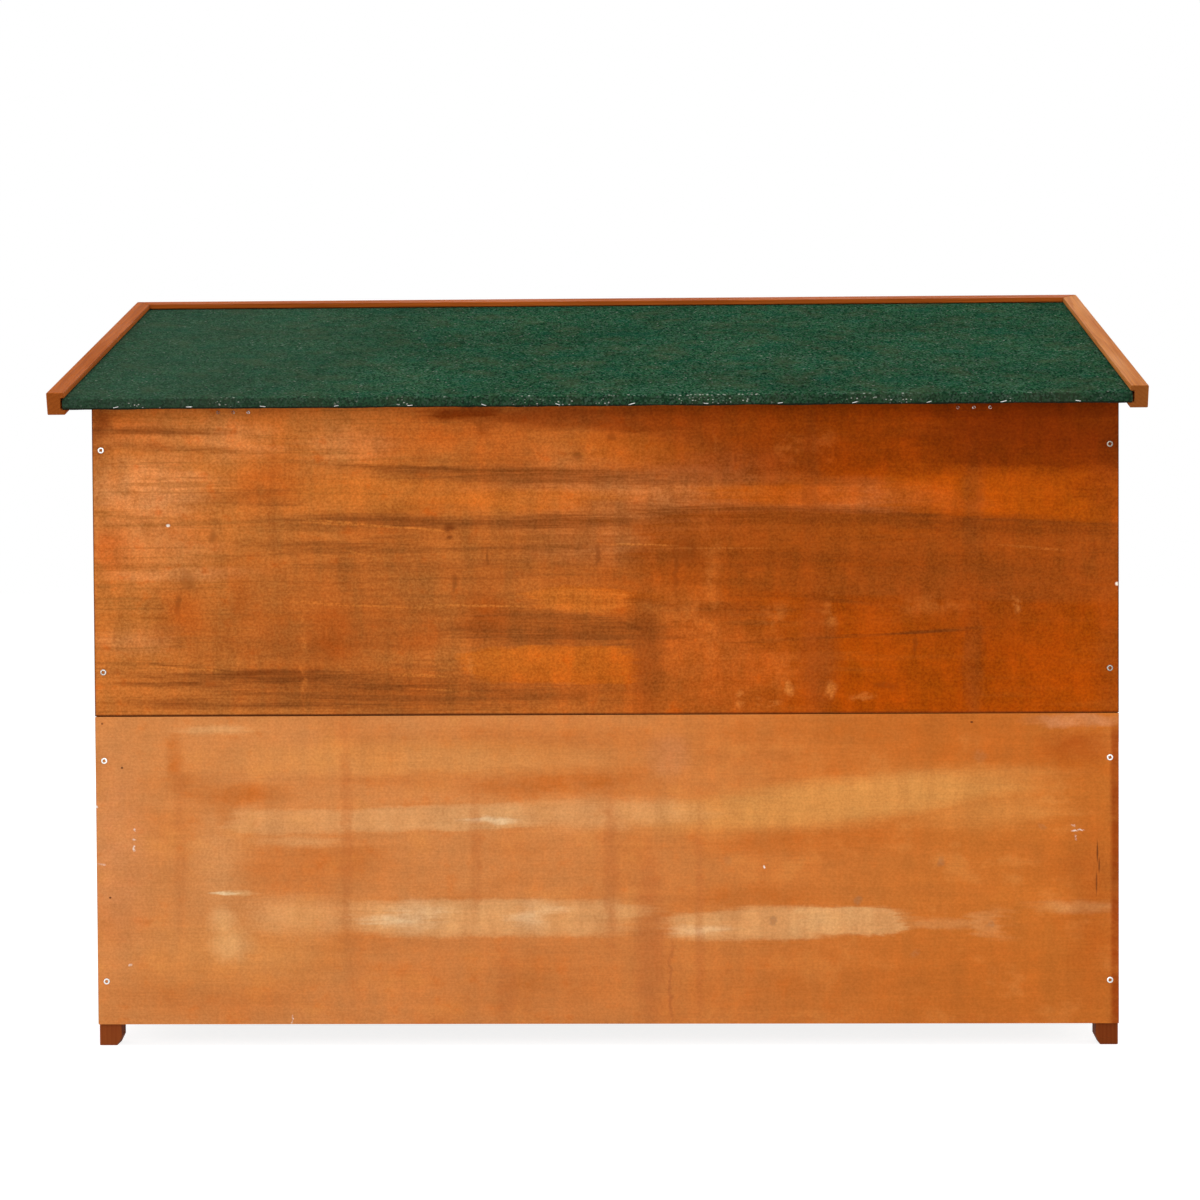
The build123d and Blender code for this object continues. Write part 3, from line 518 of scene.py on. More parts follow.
def upper_back():
    """Orange under a brown run of stain, with grey grain, dark corners, painted shade under the
    eave, knots and rubbed spots.
    """
    sh = Shader("stained_ply_upper_back")
    feathered, gentle, wandering = back_warps(sh)
    veins = veneer(sh, 3)
    threads = sh.grain((7, 60, 250), 3, (2, 0, 4), 0.65, gentle)
    x, _, z = sh.apart(sh.at)
    fx, _, fz = sh.apart(feathered)
    to_right = sh.step(x, 0.26, -0.3)
    broken = sh.step(veins.mottle, 0.3, 0.62, 0.6, 1.1)
    stringy = sh.times(
        sh.step(veins.streaks, 0.3, 0.6, 0.7, 1.1), sh.step(threads, 0.36, 0.62, 0.5, 1.25)
    )
    across = partial(sh.mix, to_right)
    sh.colour = across((0.49, 0.149, 0.027), (0.35, 0.057, 0.0014))
    clouded = across((0.42, 0.1, 0.0135), (0.35, 0.06, 0.002))
    sh.over(sh.step(veins.clouds, 0.45, 0.7, 0, 0.6), clouded)
    sh.over(sh.step(veins.streaks, 0.5, 0.75, 0, 0.4), (0.35, 0.087, 0.0095))
    sh.lay((0.66, 0.25, 0.08), broken, feathered, UPPER_PALE)
    brown = sh.times(sh.step(threads, 0.5, 0.7), sh.step(x, 0.1, -0.4, 0.45, 0.2))
    sh.over(brown, across((0.27, 0.088, 0.016), (0.25, 0.045, 0.002)))
    bright = sh.marks(feathered, UPPER_BRIGHT, UPPER_BRIGHT_BLOCKS)
    sh.over(bright, across((0.56, 0.142, 0.0135), (0.42, 0.075, 0.0028)))
    red = sh.times(sh.marks(wandering, UPPER_RED), broken)
    sh.over(sh.most(red, sh.step(veins.mottle, 0.54, 0.72, 0, 0.5)), (0.44, 0.069, 0.002))
    murk = sh.mix(sh.step(x, 0.15, -0.35), (0.28, 0.077, 0.014), (0.28, 0.055, 0.0045))
    sh.over(sh.times(sh.times(sh.marks(feathered, UPPER_GREY), stringy), broken), murk)
    even = sh.step(threads, 0.3, 0.65, 0.8, 1.1)
    sh.lay((0.305, 0.062, 0.0058), even, gentle, {}, UPPER_BAND)
    sh.lay((0.27, 0.06, 0.008), broken, wandering, UPPER_COLUMNS)
    # Dark along the top and in the top corner at negative x: the stain's own dark top, with painted
    # shade under the eave
    top = sh.times(sh.step(fx, 0.03, -0.15, 0, 0.55), sh.step(fz, 0.63, 0.652))
    corner = sh.times(sh.step(fx, -0.24, -0.44, 0, 0.9), sh.step(fz, 0.641, 0.655))
    deep_stain_and_eave_shade = sh.most(sh.marks(feathered, UPPER_DEEP_STAIN_AND_EAVE_SHADE), sh.most(top, corner))
    sh.over(sh.times(deep_stain_and_eave_shade, sh.step(veins.streaks, 0.3, 0.6, 0.85, 1.08)), (0.17, 0.024, 0.0016))
    umber = across((0.17, 0.043, 0.0075), (0.17, 0.034, 0.0035))
    sh.lay(umber, sh.step(threads, 0.3, 0.65, 0.5, 0.95), feathered, UPPER_UMBER)
    sh.lay((0.16, 0.036, 0.005), sh.step(threads, 0.36, 0.58, 0.3, 1), gentle, UPPER_EDGES)
    between = sh.step(threads, 0.3, 0.6, 1.1, 0.6)
    sh.lay((0.6, 0.16, 0.021), between, feathered, {}, UPPER_CLEAR)
    thin = sh.step(veins.mottle, 0.42, 0.56, 0.1, 1)
    sh.lay((0.55, 0.165, 0.028), thin, wandering, UPPER_LIGHTS)
    sh.lay((0.62, 0.19, 0.03), sh.step(veins.speckle, 0.3, 0.6, 0.3, 0.9), gentle, UPPER_LINES)
    rough = sh.step(veins.speckle, 0.3, 0.65, 0.25, 1)
    sh.lay((0.13, 0.026, 0.004), rough, wandering, UPPER_KNOTS)
    sh.over(sh.marks(sh.at, UPPER_FLECKS), (0.8, 0.72, 0.62))
    # Painted shade: dark lines along the seam and down the two upright edges
    seam_shade = sh.times(sh.step(z, 0.377, 0.375), sh.step(x, 0.3, -0.4, 0.95, 0.6))
    sides = sh.step(sh.math("ABSOLUTE", sh.plus(x, 0.008)), 0.573, 0.5745, 0, 0.7)
    sh.over(sh.most(seam_shade, sides), (0.08, 0.018, 0.005))
    return finish_back(sh, veins, 0.172, 0.11)


def lower_back():
    """Paler and yellower, rubbed white in two bands, with dull spots, nails and paint flecks."""
    sh = Shader("stained_ply_lower_back")
    feathered, _, wandering = back_warps(sh)
    veins = veneer(sh, 8)
    x, _, z = sh.apart(sh.at)
    broken = sh.step(veins.mottle, 0.3, 0.62, 0.6, 1.1)
    sh.colour = sh.mix(sh.step(x, 0.2, -0.5), (0.56, 0.206, 0.058), (0.515, 0.146, 0.022))
    sh.over(sh.step(veins.clouds, 0.45, 0.72, 0, 0.5), (0.5, 0.14, 0.025))
    sh.over(sh.step(veins.drift, 0.52, 0.72, 0, 0.35), (0.58, 0.24, 0.06))
    sh.over(sh.step(veins.mottle, 0.53, 0.72, 0, 0.45), (0.52, 0.135, 0.022))
    dark = sh.most(sh.marks(feathered, LOWER_DARK), sh.marks(wandering, LOWER_SMUDGES))
    sh.over(sh.times(dark, broken), (0.47, 0.112, 0.013))
    sh.lay((0.62, 0.28, 0.072), sh.step(veins.upright, 0.3, 0.7, 0.8, 1.1), feathered, LOWER_TAN)
    sh.lay((0.59, 0.25, 0.11), broken, wandering, LOWER_PINK)
    pale = sh.marks(feathered, LOWER_PALE, LOWER_PALE_BLOCKS)
    pale = sh.most(pale, sh.marks(wandering, LOWER_OVALS))
    uneven = sh.times(
        sh.step(veins.clouds, 0.3, 0.6, 0.8, 1.1), sh.step(veins.upright, 0.3, 0.7, 0.75, 1.15)
    )
    sh.over(sh.times(pale, uneven), (0.69, 0.4, 0.165))
    sh.lay((0.8, 0.58, 0.33), broken, feathered, LOWER_WHITE)
    sh.lay((0.42, 0.125, 0.032), broken, wandering, LOWER_COLUMNS)
    strip = sh.times(sh.step(x, -0.5705, -0.5775), sh.step(z, 0.372, 0.345, 0, 0.9))
    red = sh.most(strip, sh.marks(wandering, LOWER_RED))
    sh.over(sh.times(red, broken), (0.3, 0.052, 0.006))
    dull = sh.step(veins.speckle, 0.3, 0.6, 0.35, 0.9)
    sh.lay((0.32, 0.145, 0.06), dull, wandering, LOWER_SPOTS)
    sh.over(sh.marks(sh.at, LOWER_NAILS), (0.08, 0.02, 0.008))
    chipped = sh.step(veins.speckle, 0.35, 0.6, 0.3, 1)
    sh.lay((0.82, 0.76, 0.68), chipped, wandering, LOWER_FLECKS)
    return finish_back(sh, veins, 0.08, 0.06)


# ---- other timber

STAIN = (0.4, 0.115, 0.026), (0.235, 0.052, 0.011)
PINE = (0.66, 0.46, 0.26), (0.48, 0.29, 0.13)
# Sheets: the face's light and dark, then the cut plies' pale and dark
WALL_SHEET = WALL_LIGHT, WALL_DARK, (0.5, 0.22, 0.08), (0.13, 0.035, 0.009)
BARE_SHEET = (0.68, 0.5, 0.3), (0.55, 0.37, 0.2), (0.6, 0.42, 0.24), (0.3, 0.18, 0.09)
ROOF_SHEET = (0.5, 0.33, 0.17), (0.36, 0.22, 0.1), (0.45, 0.28, 0.14), (0.2, 0.11, 0.05)
# The width of a growth ring in mm
RING = 4.2


def ply(name, across, along, tones, seed):
    """A sheet of ply seen on its face, with grain along one axis."""
    light, dark, edge_pale, edge_dark = tones
    sh = Shader(name)
    grain = sh.turned(sh.at, ALONG[along])
    fibres = sh.grain((16, 700, 700), 2, (seed, 0, seed), vector=grain)
    figure = sh.grain((2.4, 45, 45), 4, (seed, 2, 0), vector=grain)
    clouds = sh.grain((5, 11, 11), 4, (0, seed, 1), 0.55, grain)
    share = sh.plus(sh.step(figure, 0.32, 0.72, 0, 0.65), sh.step(clouds, 0.4, 0.75, 0, 0.45))
    sh.colour = sh.mix(share, light, dark)
    sh.shaded(sh.step(fibres, 0.25, 0.75, 0.9, 1.1))
    sh.over(sh.times(sh.edge(sh.facing), 0.5), edge_pale)
    ply_edge(sh, across, edge_pale, edge_dark, 3.4)
    roughness = sh.step(clouds, 0.3, 0.7, 0.5, 0.7)
    return sh.finish(roughness, sh.plus(fibres, figure), 0.22, 0.5, specular=0.05)


def timber(name, along, tones, seed, uprights=None, edge=None, end=0.5, foot=False):
    """A sawn and planed stick: growth rings round a pith outside it, so its ends show them too.
    uprights are the x positions outside which a frame's sticks stand up, edge is the tint of the
    corners in place of pale wear, end is how dark the ends are, and foot is for sticks that are
    darker towards the floor."""
    light, dark = tones
    sh = Shader(name)
    x, _, z = sh.apart(sh.at)
    grain = sh.turned(sh.at, ALONG[along])
    facing = sh.turned(sh.facing, ALONG[along])
    if uprights:
        stile = sh.most(
            sh.math("LESS_THAN", x, uprights[0]), sh.math("GREATER_THAN", x, uprights[1])
        )
        grain = sh.mix_vector(stile, grain, sh.turned(sh.at, ALONG["z"]))
        facing = sh.mix_vector(stile, facing, sh.turned(sh.facing, ALONG["z"]))
    spread = random.Random(seed)
    pith = [spread.choice((-1, 1)) * spread.uniform(0.03, 0.07) for _ in range(2)]
    wander = sh.grain((1.6, 14, 14), 3, (seed, 0, 0), 0.55, grain)
    _, width, depth = sh.apart(grain)
    section = sh.add("CombineXYZ", {1: sh.plus(width, pith[0]), 2: sh.plus(depth, pith[1])})
    radius = sh.math("MULTIPLY_ADD", wander, 0.03, sh.vector("LENGTH", section, out=1))
    ring = sh.math("FRACT", sh.times(radius, 1 / (RING * MM)))
    late = sh.times(sh.math("POWER", ring, 2.5), sh.step(ring, 1, 0.9))
    fibres = sh.grain((14, 600, 600), 2, (0, seed, 0), vector=grain)
    blotch = sh.grain((3.5, 22, 22), 4, (seed, seed, 0), vector=grain)
    share = sh.plus(sh.times(late, 0.6), sh.step(blotch, 0.35, 0.75, 0, 0.6))
    sh.colour = sh.mix(share, light, dark)
    sh.shaded(sh.step(fibres, 0.25, 0.75, 0.88, 1.1))
    ends = sh.step(sh.math("ABSOLUTE", sh.apart(facing)[0]), 0.75, 0.95)
    sh.over(sh.times(ends, end), [0.35 * c for c in dark])
    # The corners take pale wear, unless an edge tint is given, as the darker one on the trims
    worn = sh.times(sh.edge(facing), sh.step(blotch, 0.35, 0.6, 0.2, 0.75))
    sh.over(worn, edge or [min(1, 1.5 * c + 0.02) for c in light])
    if foot:
        # Darker towards the floor, more so at negative x
        darker_low = sh.step(sh.math("MULTIPLY_ADD", blotch, 0.02, z), 0.055, 0.03, 0, 0.75)
        sh.over(darker_low, sh.mix(sh.step(x, -0.3, 0.3), (0.135, 0.021, 0.004), (0.19, 0.038, 0.009)))
    roughness = sh.plus(sh.step(blotch, 0.3, 0.7, 0.46, 0.62), sh.times(late, -0.06))
    height = sh.plus(fibres, sh.times(late, 0.6))
    return sh.finish(roughness, height, 0.22, 0.5, specular=0.012)


# ---- felt and metal

# Cells to the metre
GRANULES, SPECKS, SPANGLES = 520, 210, 125


def felt_granules():
    """Green mineral granules on bitumen, faded towards one end."""
    sh = Shader("green_mineral_felt")
    middle, tints = sh.cells(sh.at, GRANULES)
    chance, second, third = sh.apart(tints)
    fall = sh.grain((7, 9, 9), 4)
    trodden = sh.grain((60, 60, 60), 3)
    patchy = sh.grain((26, 26, 26), 4, (9, 0, 0), 0.65)
    x, y, z = sh.apart(sh.at)
    sh.colour = sh.mix(sh.step(chance, 0.1, 0.9), (0.0035, 0.033, 0.0135), (0.029, 0.101, 0.047))
    sh.over(sh.step(second, 0.82, 0.86, 0, 0.8), (0.004, 0.011, 0.008))
    sh.over(sh.step(second, 0.22, 0.16, 0, 0.75), (0.07, 0.125, 0.088))
    sh.over(sh.step(third, 0.992, 0.995), (0.2, 0.22, 0.18))
    sh.over(sh.step(patchy, 0.48, 0.68, 0, 0.35), (0.064, 0.074, 0.038))
    sh.over(sh.step(patchy, 0.48, 0.3, 0, 0.35), (0.002, 0.072, 0.042))
    sh.shaded(sh.plus(sh.step(fall, 0.3, 0.7, 0.86, 1.14), sh.step(trodden, 0.3, 0.7, -0.1, 0.1)))
    sh.over(sh.step(x, 0.05, 0.55, 0, 0.35), (0.05, 0.082, 0.055))
    # Down the nose the bitumen shows through, with pale worn specks there and at the bend, and a
    # dark band along the lower edge: the bitumen's cut edge, with painted shade along it
    eave = BACK_Y * RUN - ROOF_Z * RISE + EAVE_V
    down = sh.plus(sh.times(y, RUN), sh.times(z, -RISE))
    nose = sh.step(down, (eave - 5) * MM, (eave - 1) * MM)
    sh.over(sh.times(nose, 0.55), (0.012, 0.019, 0.011))
    specks, _ = sh.cells(sh.stretched(sh.at, (1, 1, 1.6)), SPECKS)
    rubbed = sh.grain((26, 26, 26), 2, (4, 0, 0))
    low = sh.step(z, (NOSE_Z + 10) * MM, (NOSE_Z + 6) * MM, 0, 0.75)
    bare = sh.times(sh.times(sh.step(specks, 0.26, 0.14), low), sh.step(rubbed, 0.52, 0.6))
    sh.over(bare, (0.46, 0.45, 0.4))
    bend = sh.times(sh.step(nose, 0, 0.25), sh.step(nose, 0.9, 0.5))
    worn = sh.times(sh.step(rubbed, 0.5, 0.62), sh.step(specks, 0.34, 0.2, 0, 0.85))
    sh.over(sh.times(bend, worn), (0.38, 0.41, 0.35))
    # The lowest 2 mm darkened: the bitumen's cut edge and painted shade along the felt's rim
    cut = sh.step(z, (NOSE_Z + 2.2) * MM, (NOSE_Z + 1) * MM, 0, 0.85)
    sh.over(cut, (0.01, 0.009, 0.006))
    roughness = sh.step(chance, 0, 1, 0.82, 0.97)
    height = sh.plus(middle, sh.times(trodden, 0.5))
    return sh.finish(roughness, height, 0.7, 1.1, specular=0)


def zinc(name, tint, dark, dull=0, face=None, stain=None, dim=None):
    """Zinc plating, with painted highlights on edges. face is the y of the surface that heads stand
    on and the way they stand, so that painted shade darkens their recesses; stain is wood stain
    brushed over part of them, and dim are marks where the plating has dulled."""
    sh = Shader(name)
    bloom = sh.grain((160, 160, 160), 4)
    rub = sh.grain((900, 60, 900), 2)
    sh.colour = sh.mix(sh.step(bloom, 0.35, 0.7), tint, dark)
    # Painted highlight: a paler colour on the bevels and on round faces that lean off the axes
    sh.over(sh.times(sh.edge(sh.facing), 0.5), (0.78, 0.78, 0.76))
    if dim:
        sh.over(sh.marks(sh.at, dim), (0.26, 0.22, 0.18))
    if stain:
        sh.over(sh.step(sh.grain((420, 420, 420), 2), 0.42, 0.5, 0, 0.92), stain)
    if face:
        place, way = face
        proud = sh.math("MULTIPLY_ADD", sh.apart(sh.at)[1], way, -place * way * MM)
        # Painted shade: the heads' recesses and lowest parts darkened
        sh.over(sh.step(proud, 0.5 * MM, 0.15 * MM, 0, 0.95), (0.045, 0.025, 0.015))
    roughness = sh.plus(
        sh.step(bloom, 0.3, 0.7, 0.36 + dull, 0.56 + dull), sh.step(rub, 0.3, 0.7, -0.06, 0.06)
    )
    return sh.finish(roughness, sh.plus(bloom, rub), 0.12, 0.3, metallic=0.95)


def galvanised():
    """Zinc-coated sheet with its spangle, a little dusty."""
    sh = Shader("galvanised_sheet")
    warp = sh.noise(sh.stretched(sh.at, (70, 70, 70)), 2, 0.5, out=1)
    _, tints = sh.cells(sh.stretched(warp, (0.012, 0.012, 0.012), sh.at), SPANGLES)
    spangle = sh.apart(tints)[0]
    dust = sh.grain((14, 14, 14), 4)
    sh.colour = sh.mix(spangle, (0.48, 0.5, 0.51), (0.62, 0.64, 0.65))
    sh.over(sh.step(dust, 0.5, 0.75, 0, 0.25), (0.38, 0.37, 0.35))
    roughness = sh.plus(sh.times(spangle, 0.16), sh.step(dust, 0.3, 0.7, 0.3, 0.44))
    return sh.finish(roughness, spangle, 0.1, 0.2, metallic=0.9)


# ---- new pieces

def piece(name, bm, body, material, sharp=None):
    """A finished mesh as a piece that rides on a body, sharp beyond an angle in degrees."""
    bmesh.ops.recalc_face_normals(bm, faces=bm.faces)
    mesh = bpy.data.meshes.new(name)
    bm.to_mesh(mesh)
    bm.free()
    mesh.polygons.foreach_set("use_smooth", [True] * len(mesh.polygons))
    mesh.materials.append(material)
    made = bpy.data.objects.new(name, mesh)
    scene.collection.objects.link(made)
    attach(made, body)
    if sharp:
        mesh.set_sharp_from_angle(angle=radians(sharp))
    return made


def roof_point(x, v, n):
    """A point on the roof from its place across, down the slope and above the underside, in mm."""
    return Vector((x, BACK_Y + v * RUN + n * RISE, ROOF_Z - v * RISE + n * RUN)) * MM


def felt_cover(material):
    """The felt as laid: a little slack over the board, turned down over the eave, cut unevenly."""
    bend, rows, turns, drops, across = 4, 70, 8, 4, 180
    under = 0.03
    top = EAVE_V - FELT - bend
    angles = [pi / 2 * i / turns for i in range(1, turns + 1)]
    path = [(FELT_FRONT_V + (top - FELT_FRONT_V) * i / rows, BOARD) for i in range(rows + 1)]
    path += [(top + bend * sin(a), BOARD - bend + bend * cos(a)) for a in angles]
    path += [(EAVE_V - FELT, (BOARD - bend) * (1 - i / drops)) for i in range(1, drops + 1)]
    normals = [(0, 1)] * (rows + 1)
    normals += [(sin(a), cos(a)) for a in angles]
    normals += [(1, 0)] * drops
    last = len(path) - 1
    bm = bmesh.new()
    grid = {}
    for i in range(across + 1):
        x = -FELT_HALF + 2 * FELT_HALF * i / across
        held = min(1, max(0, (FELT_HALF - abs(x) - 6) / 40))
        cut = 0.9 * noise.noise(Vector((x * 0.02, 3, 0)))
        cut += 0.5 * noise.noise(Vector((x * 0.11, 9, 0)))
        for j, ((v, n), (nv, nn)) in enumerate(zip(path, normals)):
            loose = held * min(1, max(0, (v - FELT_FRONT_V - 8) / 40))
            slack = 0.45 * noise.noise(Vector((x * 0.006, v * 0.008, 0))) - 0.1
            slack += 0.14 * noise.noise(Vector((x * 0.03, v * 0.03, 5)))
            lift = max(-0.25, min(0.45, slack)) * loose
            if j >= last - 1:
                n += cut * (1 if j == last else 0.5)
            for k, out in enumerate((under, FELT + lift)):
                grid[i, j, k] = bm.verts.new(roof_point(x, v + out * nv, n + out * nn))

    def face(*corners):
        bm.faces.new([grid[corner] for corner in corners])

    for i in range(across):
        for j in range(last):
            for k in (0, 1):
                face((i, j, k), (i + 1, j, k), (i + 1, j + 1, k), (i, j + 1, k))
        for j in (0, last):
            face((i, j, 0), (i + 1, j, 0), (i + 1, j, 1), (i, j, 1))
    for j in range(last):
        for i in (0, across):
            face((i, j, 0), (i, j + 1, 0), (i, j + 1, 1), (i, j, 1))
    felt = piece("felt_cover", bm, "roof", material, sharp=50)
    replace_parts(felt, "roof_felt")


def skin(bm, rings):
    """Faces between neighbouring rings of vertices, and over the first and last."""
    for low, high in zip(rings, rings[1:]):
        for k in range(len(low)):
            after = (k + 1) % len(low)
            bm.faces.new([low[k], low[after], high[after], high[k]])
    bm.faces.new(rings[0])
    bm.faces.new(rings[-1])


def tube(bm, points, radius, sides=8):
    """A round wire through points, closed at both ends."""
    rings = []
    for i, p in enumerate(points):
        ahead = (points[min(i + 1, len(points) - 1)] - points[max(i - 1, 0)]).normalized()
        side = ahead.cross(Vector((0.31, 0.87, 0.39))).normalized()
        other = ahead.cross(side)
        rings.append([
            bm.verts.new(p + radius * (cos(a) * side + sin(a) * other))
            for a in (tau * k / sides for k in range(sides))
        ])
    skin(bm, rings)


def staples(material):
    """Wire staples along the eave, each crown bent over into the felt, none quite level."""
    spread = random.Random(5)
    bm = bmesh.new()
    for i in range(STAPLES):
        x = STAPLE_START + STAPLE_PITCH * i
        half = spread.uniform(2.2, 3.3)
        lean = spread.uniform(-0.9, 0.9)
        sunk = [spread.choice((0, 0, 0.55)) for _ in range(3)]
        bend = (
            (-half - 0.1, -0.9), (-half, 0.1 - sunk[0]), (0.15 - half, 0.4 - sunk[0]),
            (-0.35 * half, 0.45 - sunk[1]), (0.35 * half, 0.45 - sunk[1]),
            (half - 0.15, 0.4 - sunk[2]), (half, 0.1 - sunk[2]), (half + 0.1, -0.9),
        )
        crown = [
            roof_point(x + dx, EAVE_V + out, STAPLE_N + lean * dx / half) for dx, out in bend
        ]
        tube(bm, crown, 0.42 * MM)
    made = piece("eave_staples", bm, "roof", material)
    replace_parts(made, "felt_staples")


def screw_heads(name, body, heads, material):
    """Cross-recessed screw heads: rows of centre and outward axis in mm, radius and height."""
    bm = bmesh.new()
    spread = random.Random(name)
    angles = [tau * k / 40 for k in range(40)]
    for centre, axis, radius, height in heads:
        out = Vector(axis).normalized()
        side = out.orthogonal().normalized()
        turn = spread.uniform(0, pi)
        side = cos(turn) * side + sin(turn) * out.cross(side)
        other = out.cross(side)
        arm, wide = 0.58 * radius, 0.3 * radius
        profile = (
            (1, -0.15), (1, 0.35), (0.95, 0.72), (0.84, 0.95), (0.7, 1),
            ("cross", 1), ("floor", 1 - 0.32 * radius / height),
        )
        rings = []
        for reach, level in profile:
            ring = []
            for angle in angles:
                c, s = abs(cos(angle)) + 1e-6, abs(sin(angle)) + 1e-6
                cross = max(min(arm / c, wide / s), min(wide / c, arm / s))
                distance = {"cross": cross, "floor": 0.72 * cross}.get(reach) or reach * radius
                place = Vector(centre) + out * (level * height)
                place += side * (distance * cos(angle)) + other * (distance * sin(angle))
                ring.append(bm.verts.new(place * MM))
            rings.append(ring)
        skin(bm, rings)
    return piece(name, bm, body, material, sharp=40)


def spaced(low, high, pair, edge=0.8):
    """Places from edge to edge, at an even number of gaps, two of them about a pair apart."""
    count = 2 * round((high - low) / pair)
    return [low + edge + (high - low - 2 * edge) * i / count for i in range(count + 1)]


def welded_net(door, material):
    """Welded wire: uprights on the door's sticks, cross wires welded on behind them."""
    node = f"{door}_net"
    low, high = (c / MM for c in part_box(node))
    radius = 0.62
    front, behind = low.y + radius, low.y + radius + 0.85
    middle = (front + behind) / 2
    xs, zs = spaced(low.x, high.x, 26), spaced(low.z, high.z, 50)
    bm = bmesh.new()
    for x in xs:
        tube(bm, [Vector((x, front, z)) * MM for z in (low.z, high.z)], radius * MM)
    for z in zs:
        tube(bm, [Vector((x, behind, z)) * MM for x in (low.x, high.x)], radius * MM)
    bead = (
        (0.95, 0, 0.95), (-0.95, 0, 0.95), (-0.95, 0, -0.95), (0.95, 0, -0.95),
        (0, -0.8, 0), (0, 0.8, 0),
    )
    for x in xs:
        for z in zs:
            v = [bm.verts.new((Vector((x, middle, z)) + Vector(d)) * MM) for d in bead]
            for k in range(4):
                for pole in (4, 5):
                    bm.faces.new([v[k], v[(k + 1) % 4], v[pole]])
    net = piece(f"{door}_welded_net", bm, door, material)
    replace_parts(net, node)


# ---- put together

# Each sheet's thin axis and its grain, each stick's grain, and the trims' light, dark and ends
PLY = {
    "side_panel_lower_left": ("x", "y"), "side_panel_lower_right": ("x", "y"),
    "side_panel_upper_left": ("x", "y"), "side_panel_upper_right": ("x", "y"),
    "nest_door_panel": ("y", "x"),
}
BARE = {
    "lower_floor": ("z", "x"), "upper_floor": ("z", "x"), "nest_divider": ("x", "z"),
    "ramp_board": ("z", "ramp"),
}
STICKS = {
    "post_back_left": "z", "post_back_right": "z", "post_front_left": "z", "post_front_right": "z",
    "front_mullions": "z", "front_rails": "x", "back_rails": "x", "side_rails_left": "y",
    "side_rails_right": "y", "lower_tray_front": "x", "upper_tray_front": "x",
    "upper_tray_filler": "x",
}
TRIMS = {
    "roof_trim_left": ("slope", (0.57, 0.21, 0.048), (0.4, 0.104, 0.018), 0.75),
    "roof_trim_right": ("slope", (0.44, 0.11, 0.017), (0.28, 0.06, 0.008), 0.55),
    "roof_trim_front": ("tilted_x", (0.44, 0.099, 0.013), (0.265, 0.052, 0.0055), 0.5),
}
PLAIN = {"door_stops": "z", "ramp_treads": "y", "ramp_cleats": "y"}
DOORS = ("nest_door", "upper_door", "lower_left_door", "lower_right_door")
PLATED = ("hinge_leaves", "bolt_housing", "bolt_rod", "eave_leaves", "pins", "bolt_keepers")

# Screws: places in mm, then radius and height of the heads
BACK_SCREWS = [(x, z) for x in (-573, 557) for z in (74, 324, 424, 674)]
ROOF_HINGE_SCREWS = (424, 407, 390, -404, -422, -440)
DOOR_HINGE_SCREWS = ((-18, 9.6), (0, 8), (18, 9.6))
KEEPER_SCREWS = (-7.8, 7.8)
BACK_HEAD, BOLT_HEAD = (3.5, 0.8), (1.9, 0.6)
ROOF_HINGE_HEAD, DOOR_HINGE_HEAD = (2, 0.6), (2.3, 0.6)
HEAD_TONES = (0.8, 0.8, 0.78), (0.62, 0.62, 0.6)
DIM_BACK = {0.5: ((-573, 674, 6, 6, 1), (-573, 424, 6, 6, 0.85), (557, 424, 6, 6, 0.6))}
DIM_HINGE = {0.5: ((424, ROOF_HINGE_Z, 5, 5, 0.95), (407, ROOF_HINGE_Z, 5, 5, 0.8))}
BEHIND, AHEAD = (0, 1, 0), (0, -1, 0)


def soften(name, width):
    """Small rounded edges on a CAD node, by modifiers only."""
    node = nodes[name]
    weld = node.modifiers.new("weld", "WELD")
    weld.merge_threshold = 1e-6
    bevel = node.modifiers.new("edges", "BEVEL")
    bevel.width = width * MM
    bevel.segments = 2
    bevel.limit_method = "ANGLE"
    bevel.angle_limit = radians(40)
    bevel.harden_normals = True


def paint(name, material):
    """A material on every slot of a CAD node."""
    node = nodes[name]
    if not node.material_slots:
        node.data.materials.append(material)
    for slot in node.material_slots:
        slot.link = "OBJECT"
        slot.material = material


place_camera()
light_scene()
lay_floor()

upper_ply = upper_back()
paint("back_panel_upper", upper_ply)
paint("back_panel_lower", lower_back())
for sheets, tones, first in ((PLY, WALL_SHEET, 11), (BARE, BARE_SHEET, 21)):
    for seed, (name, (across, along)) in enumerate(sheets.items(), first):
        paint(name, ply(f"{name}_ply", across, along, tones, seed))
paint("roof_board", ply("roof_board_ply", "z", "x", ROOF_SHEET, 31))

for seed, (name, along) in enumerate(STICKS.items(), 40):
    paint(name, timber(f"{name}_wood", along, STAIN, seed, foot=name.startswith("post")))
for seed, door in enumerate(DOORS, 60):
    low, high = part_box(f"{door}_frame")
    uprights = (low.x + STICK * MM, high.x - STICK * MM)
    paint(f"{door}_frame", timber(f"{door}_wood", "x", STAIN, seed, uprights))
for seed, (name, (along, light, dark, end)) in enumerate(TRIMS.items(), 70):
    # The trims' corners are darker than their faces
    edge = [0.45 * c for c in dark]
    paint(name, timber(f"{name}_wood", along, (light, dark), seed, edge=edge, end=end))
for seed, (name, along) in enumerate(PLAIN.items(), 80):
    paint(name, timber(f"{name}_wood", along, PINE, seed))

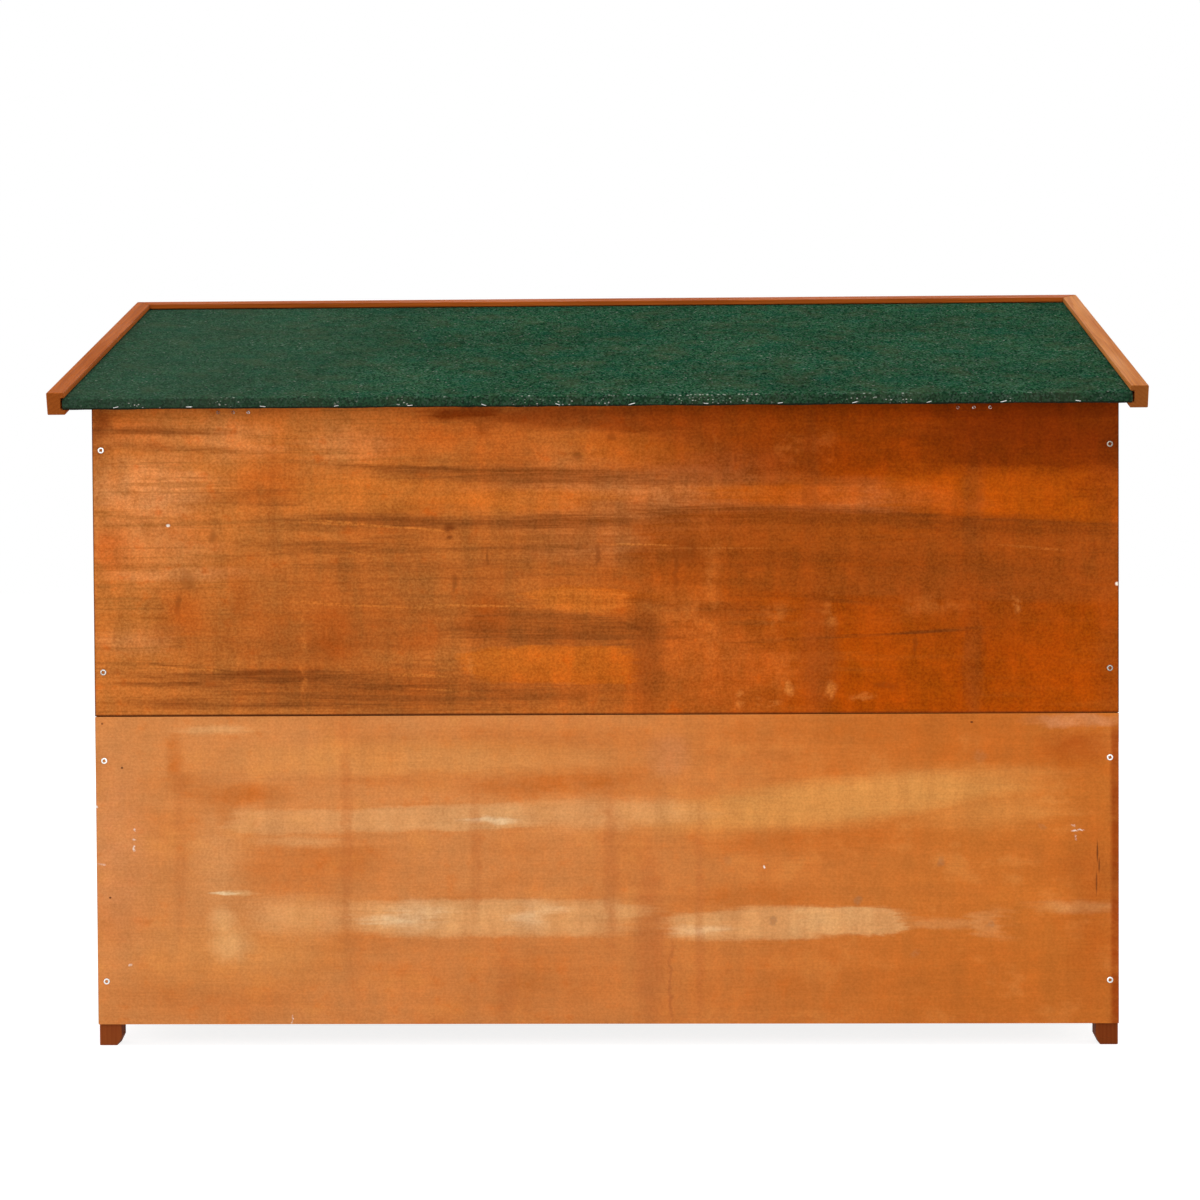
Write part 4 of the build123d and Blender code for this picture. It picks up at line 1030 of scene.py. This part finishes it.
plate = zinc("zinc_plate", (0.5, 0.5, 0.49), (0.35, 0.35, 0.34))
pan = galvanised()
wire = zinc("galvanised_wire", (0.56, 0.58, 0.59), (0.4, 0.41, 0.42), 0.06)
back_head = zinc("back_screw_zinc", *HEAD_TONES, face=(BACK_Y, 1), dim=DIM_BACK)
front_head = zinc("front_screw_zinc", *HEAD_TONES, face=(FRONT_Y - LEAF, -1))
brushed_head = zinc(
    "brushed_screw_zinc", *HEAD_TONES, face=(BACK_Y + LEAF, 1), stain=(0.22, 0.05, 0.008),
    dim=DIM_HINGE,
)
staple_wire = zinc("staple_wire", (0.72, 0.72, 0.7), (0.5, 0.5, 0.48), 0.1)
for name in nodes:
    if name.endswith(PLATED):
        paint(name, plate)
# The wall leaves were stained with the back, so they carry its finish on
paint("roof_hinge_wall_leaves", upper_ply)
for name in ("lower_tray_pan", "upper_tray_pan"):
    paint(name, pan)

for name in nodes:
    if name in PLY or name in BARE or name in ("back_panel_upper", "back_panel_lower"):
        soften(name, 0.5)
    elif name in STICKS or name in TRIMS or name in PLAIN or name.endswith("_frame"):
        soften(name, 1.1)
    elif name == "roof_board":
        soften(name, 0.4)

felt_cover(felt_granules())
staples(staple_wire)
heads = [((x, BACK_Y, z), BEHIND, *BACK_HEAD) for x, z in BACK_SCREWS]
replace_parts(screw_heads("back_screws", "hutch", heads, back_head), "back_panel_screws")
heads = [
    ((x, BACK_Y + LEAF, ROOF_HINGE_Z), BEHIND, *ROOF_HINGE_HEAD) for x in ROOF_HINGE_SCREWS
]
screw_heads("roof_hinge_screws", "hutch", heads, brushed_head)

face = FRONT_Y - LEAF
post_heads, keeper_heads = [], []
for door in DOORS:
    low, high = (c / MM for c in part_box(f"{door}_frame"))
    if door in ("nest_door", "lower_left_door"):
        way, axis, keeper = 1, low.x - HINGE_GAP, high.x + KEEPER_REACH
    else:
        way, axis, keeper = -1, high.x + HINGE_GAP, low.x - KEEPER_REACH
    door_heads = []
    for z in (low.z + HINGE_INSET, high.z - HINGE_INSET):
        for dz, dx in DOOR_HINGE_SCREWS:
            for heads, side in ((door_heads, way), (post_heads, -way)):
                heads.append(((axis + side * dx, face, z + dz), AHEAD, *DOOR_HINGE_HEAD))
    plate_low, plate_high = (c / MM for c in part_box(f"{door}_bolt_housing"))
    for x in (plate_low.x + 4, plate_high.x - 4):
        for z in (plate_low.z + 3.2, plate_high.z - 3.2):
            door_heads.append(((x, face, z), AHEAD, *BOLT_HEAD))
    screw_heads(f"{door}_screws", door, door_heads, front_head)
    for dz in KEEPER_SCREWS:
        keeper_heads.append(((keeper, face, (low.z + high.z) / 2 + dz), AHEAD, *BOLT_HEAD))
    if door != "nest_door":
        welded_net(door, wire)
screw_heads("post_hinge_screws", "hutch", post_heads, front_head)
screw_heads("keeper_screws", "hutch", keeper_heads, front_head)

scene.view_settings.view_transform = "Standard"
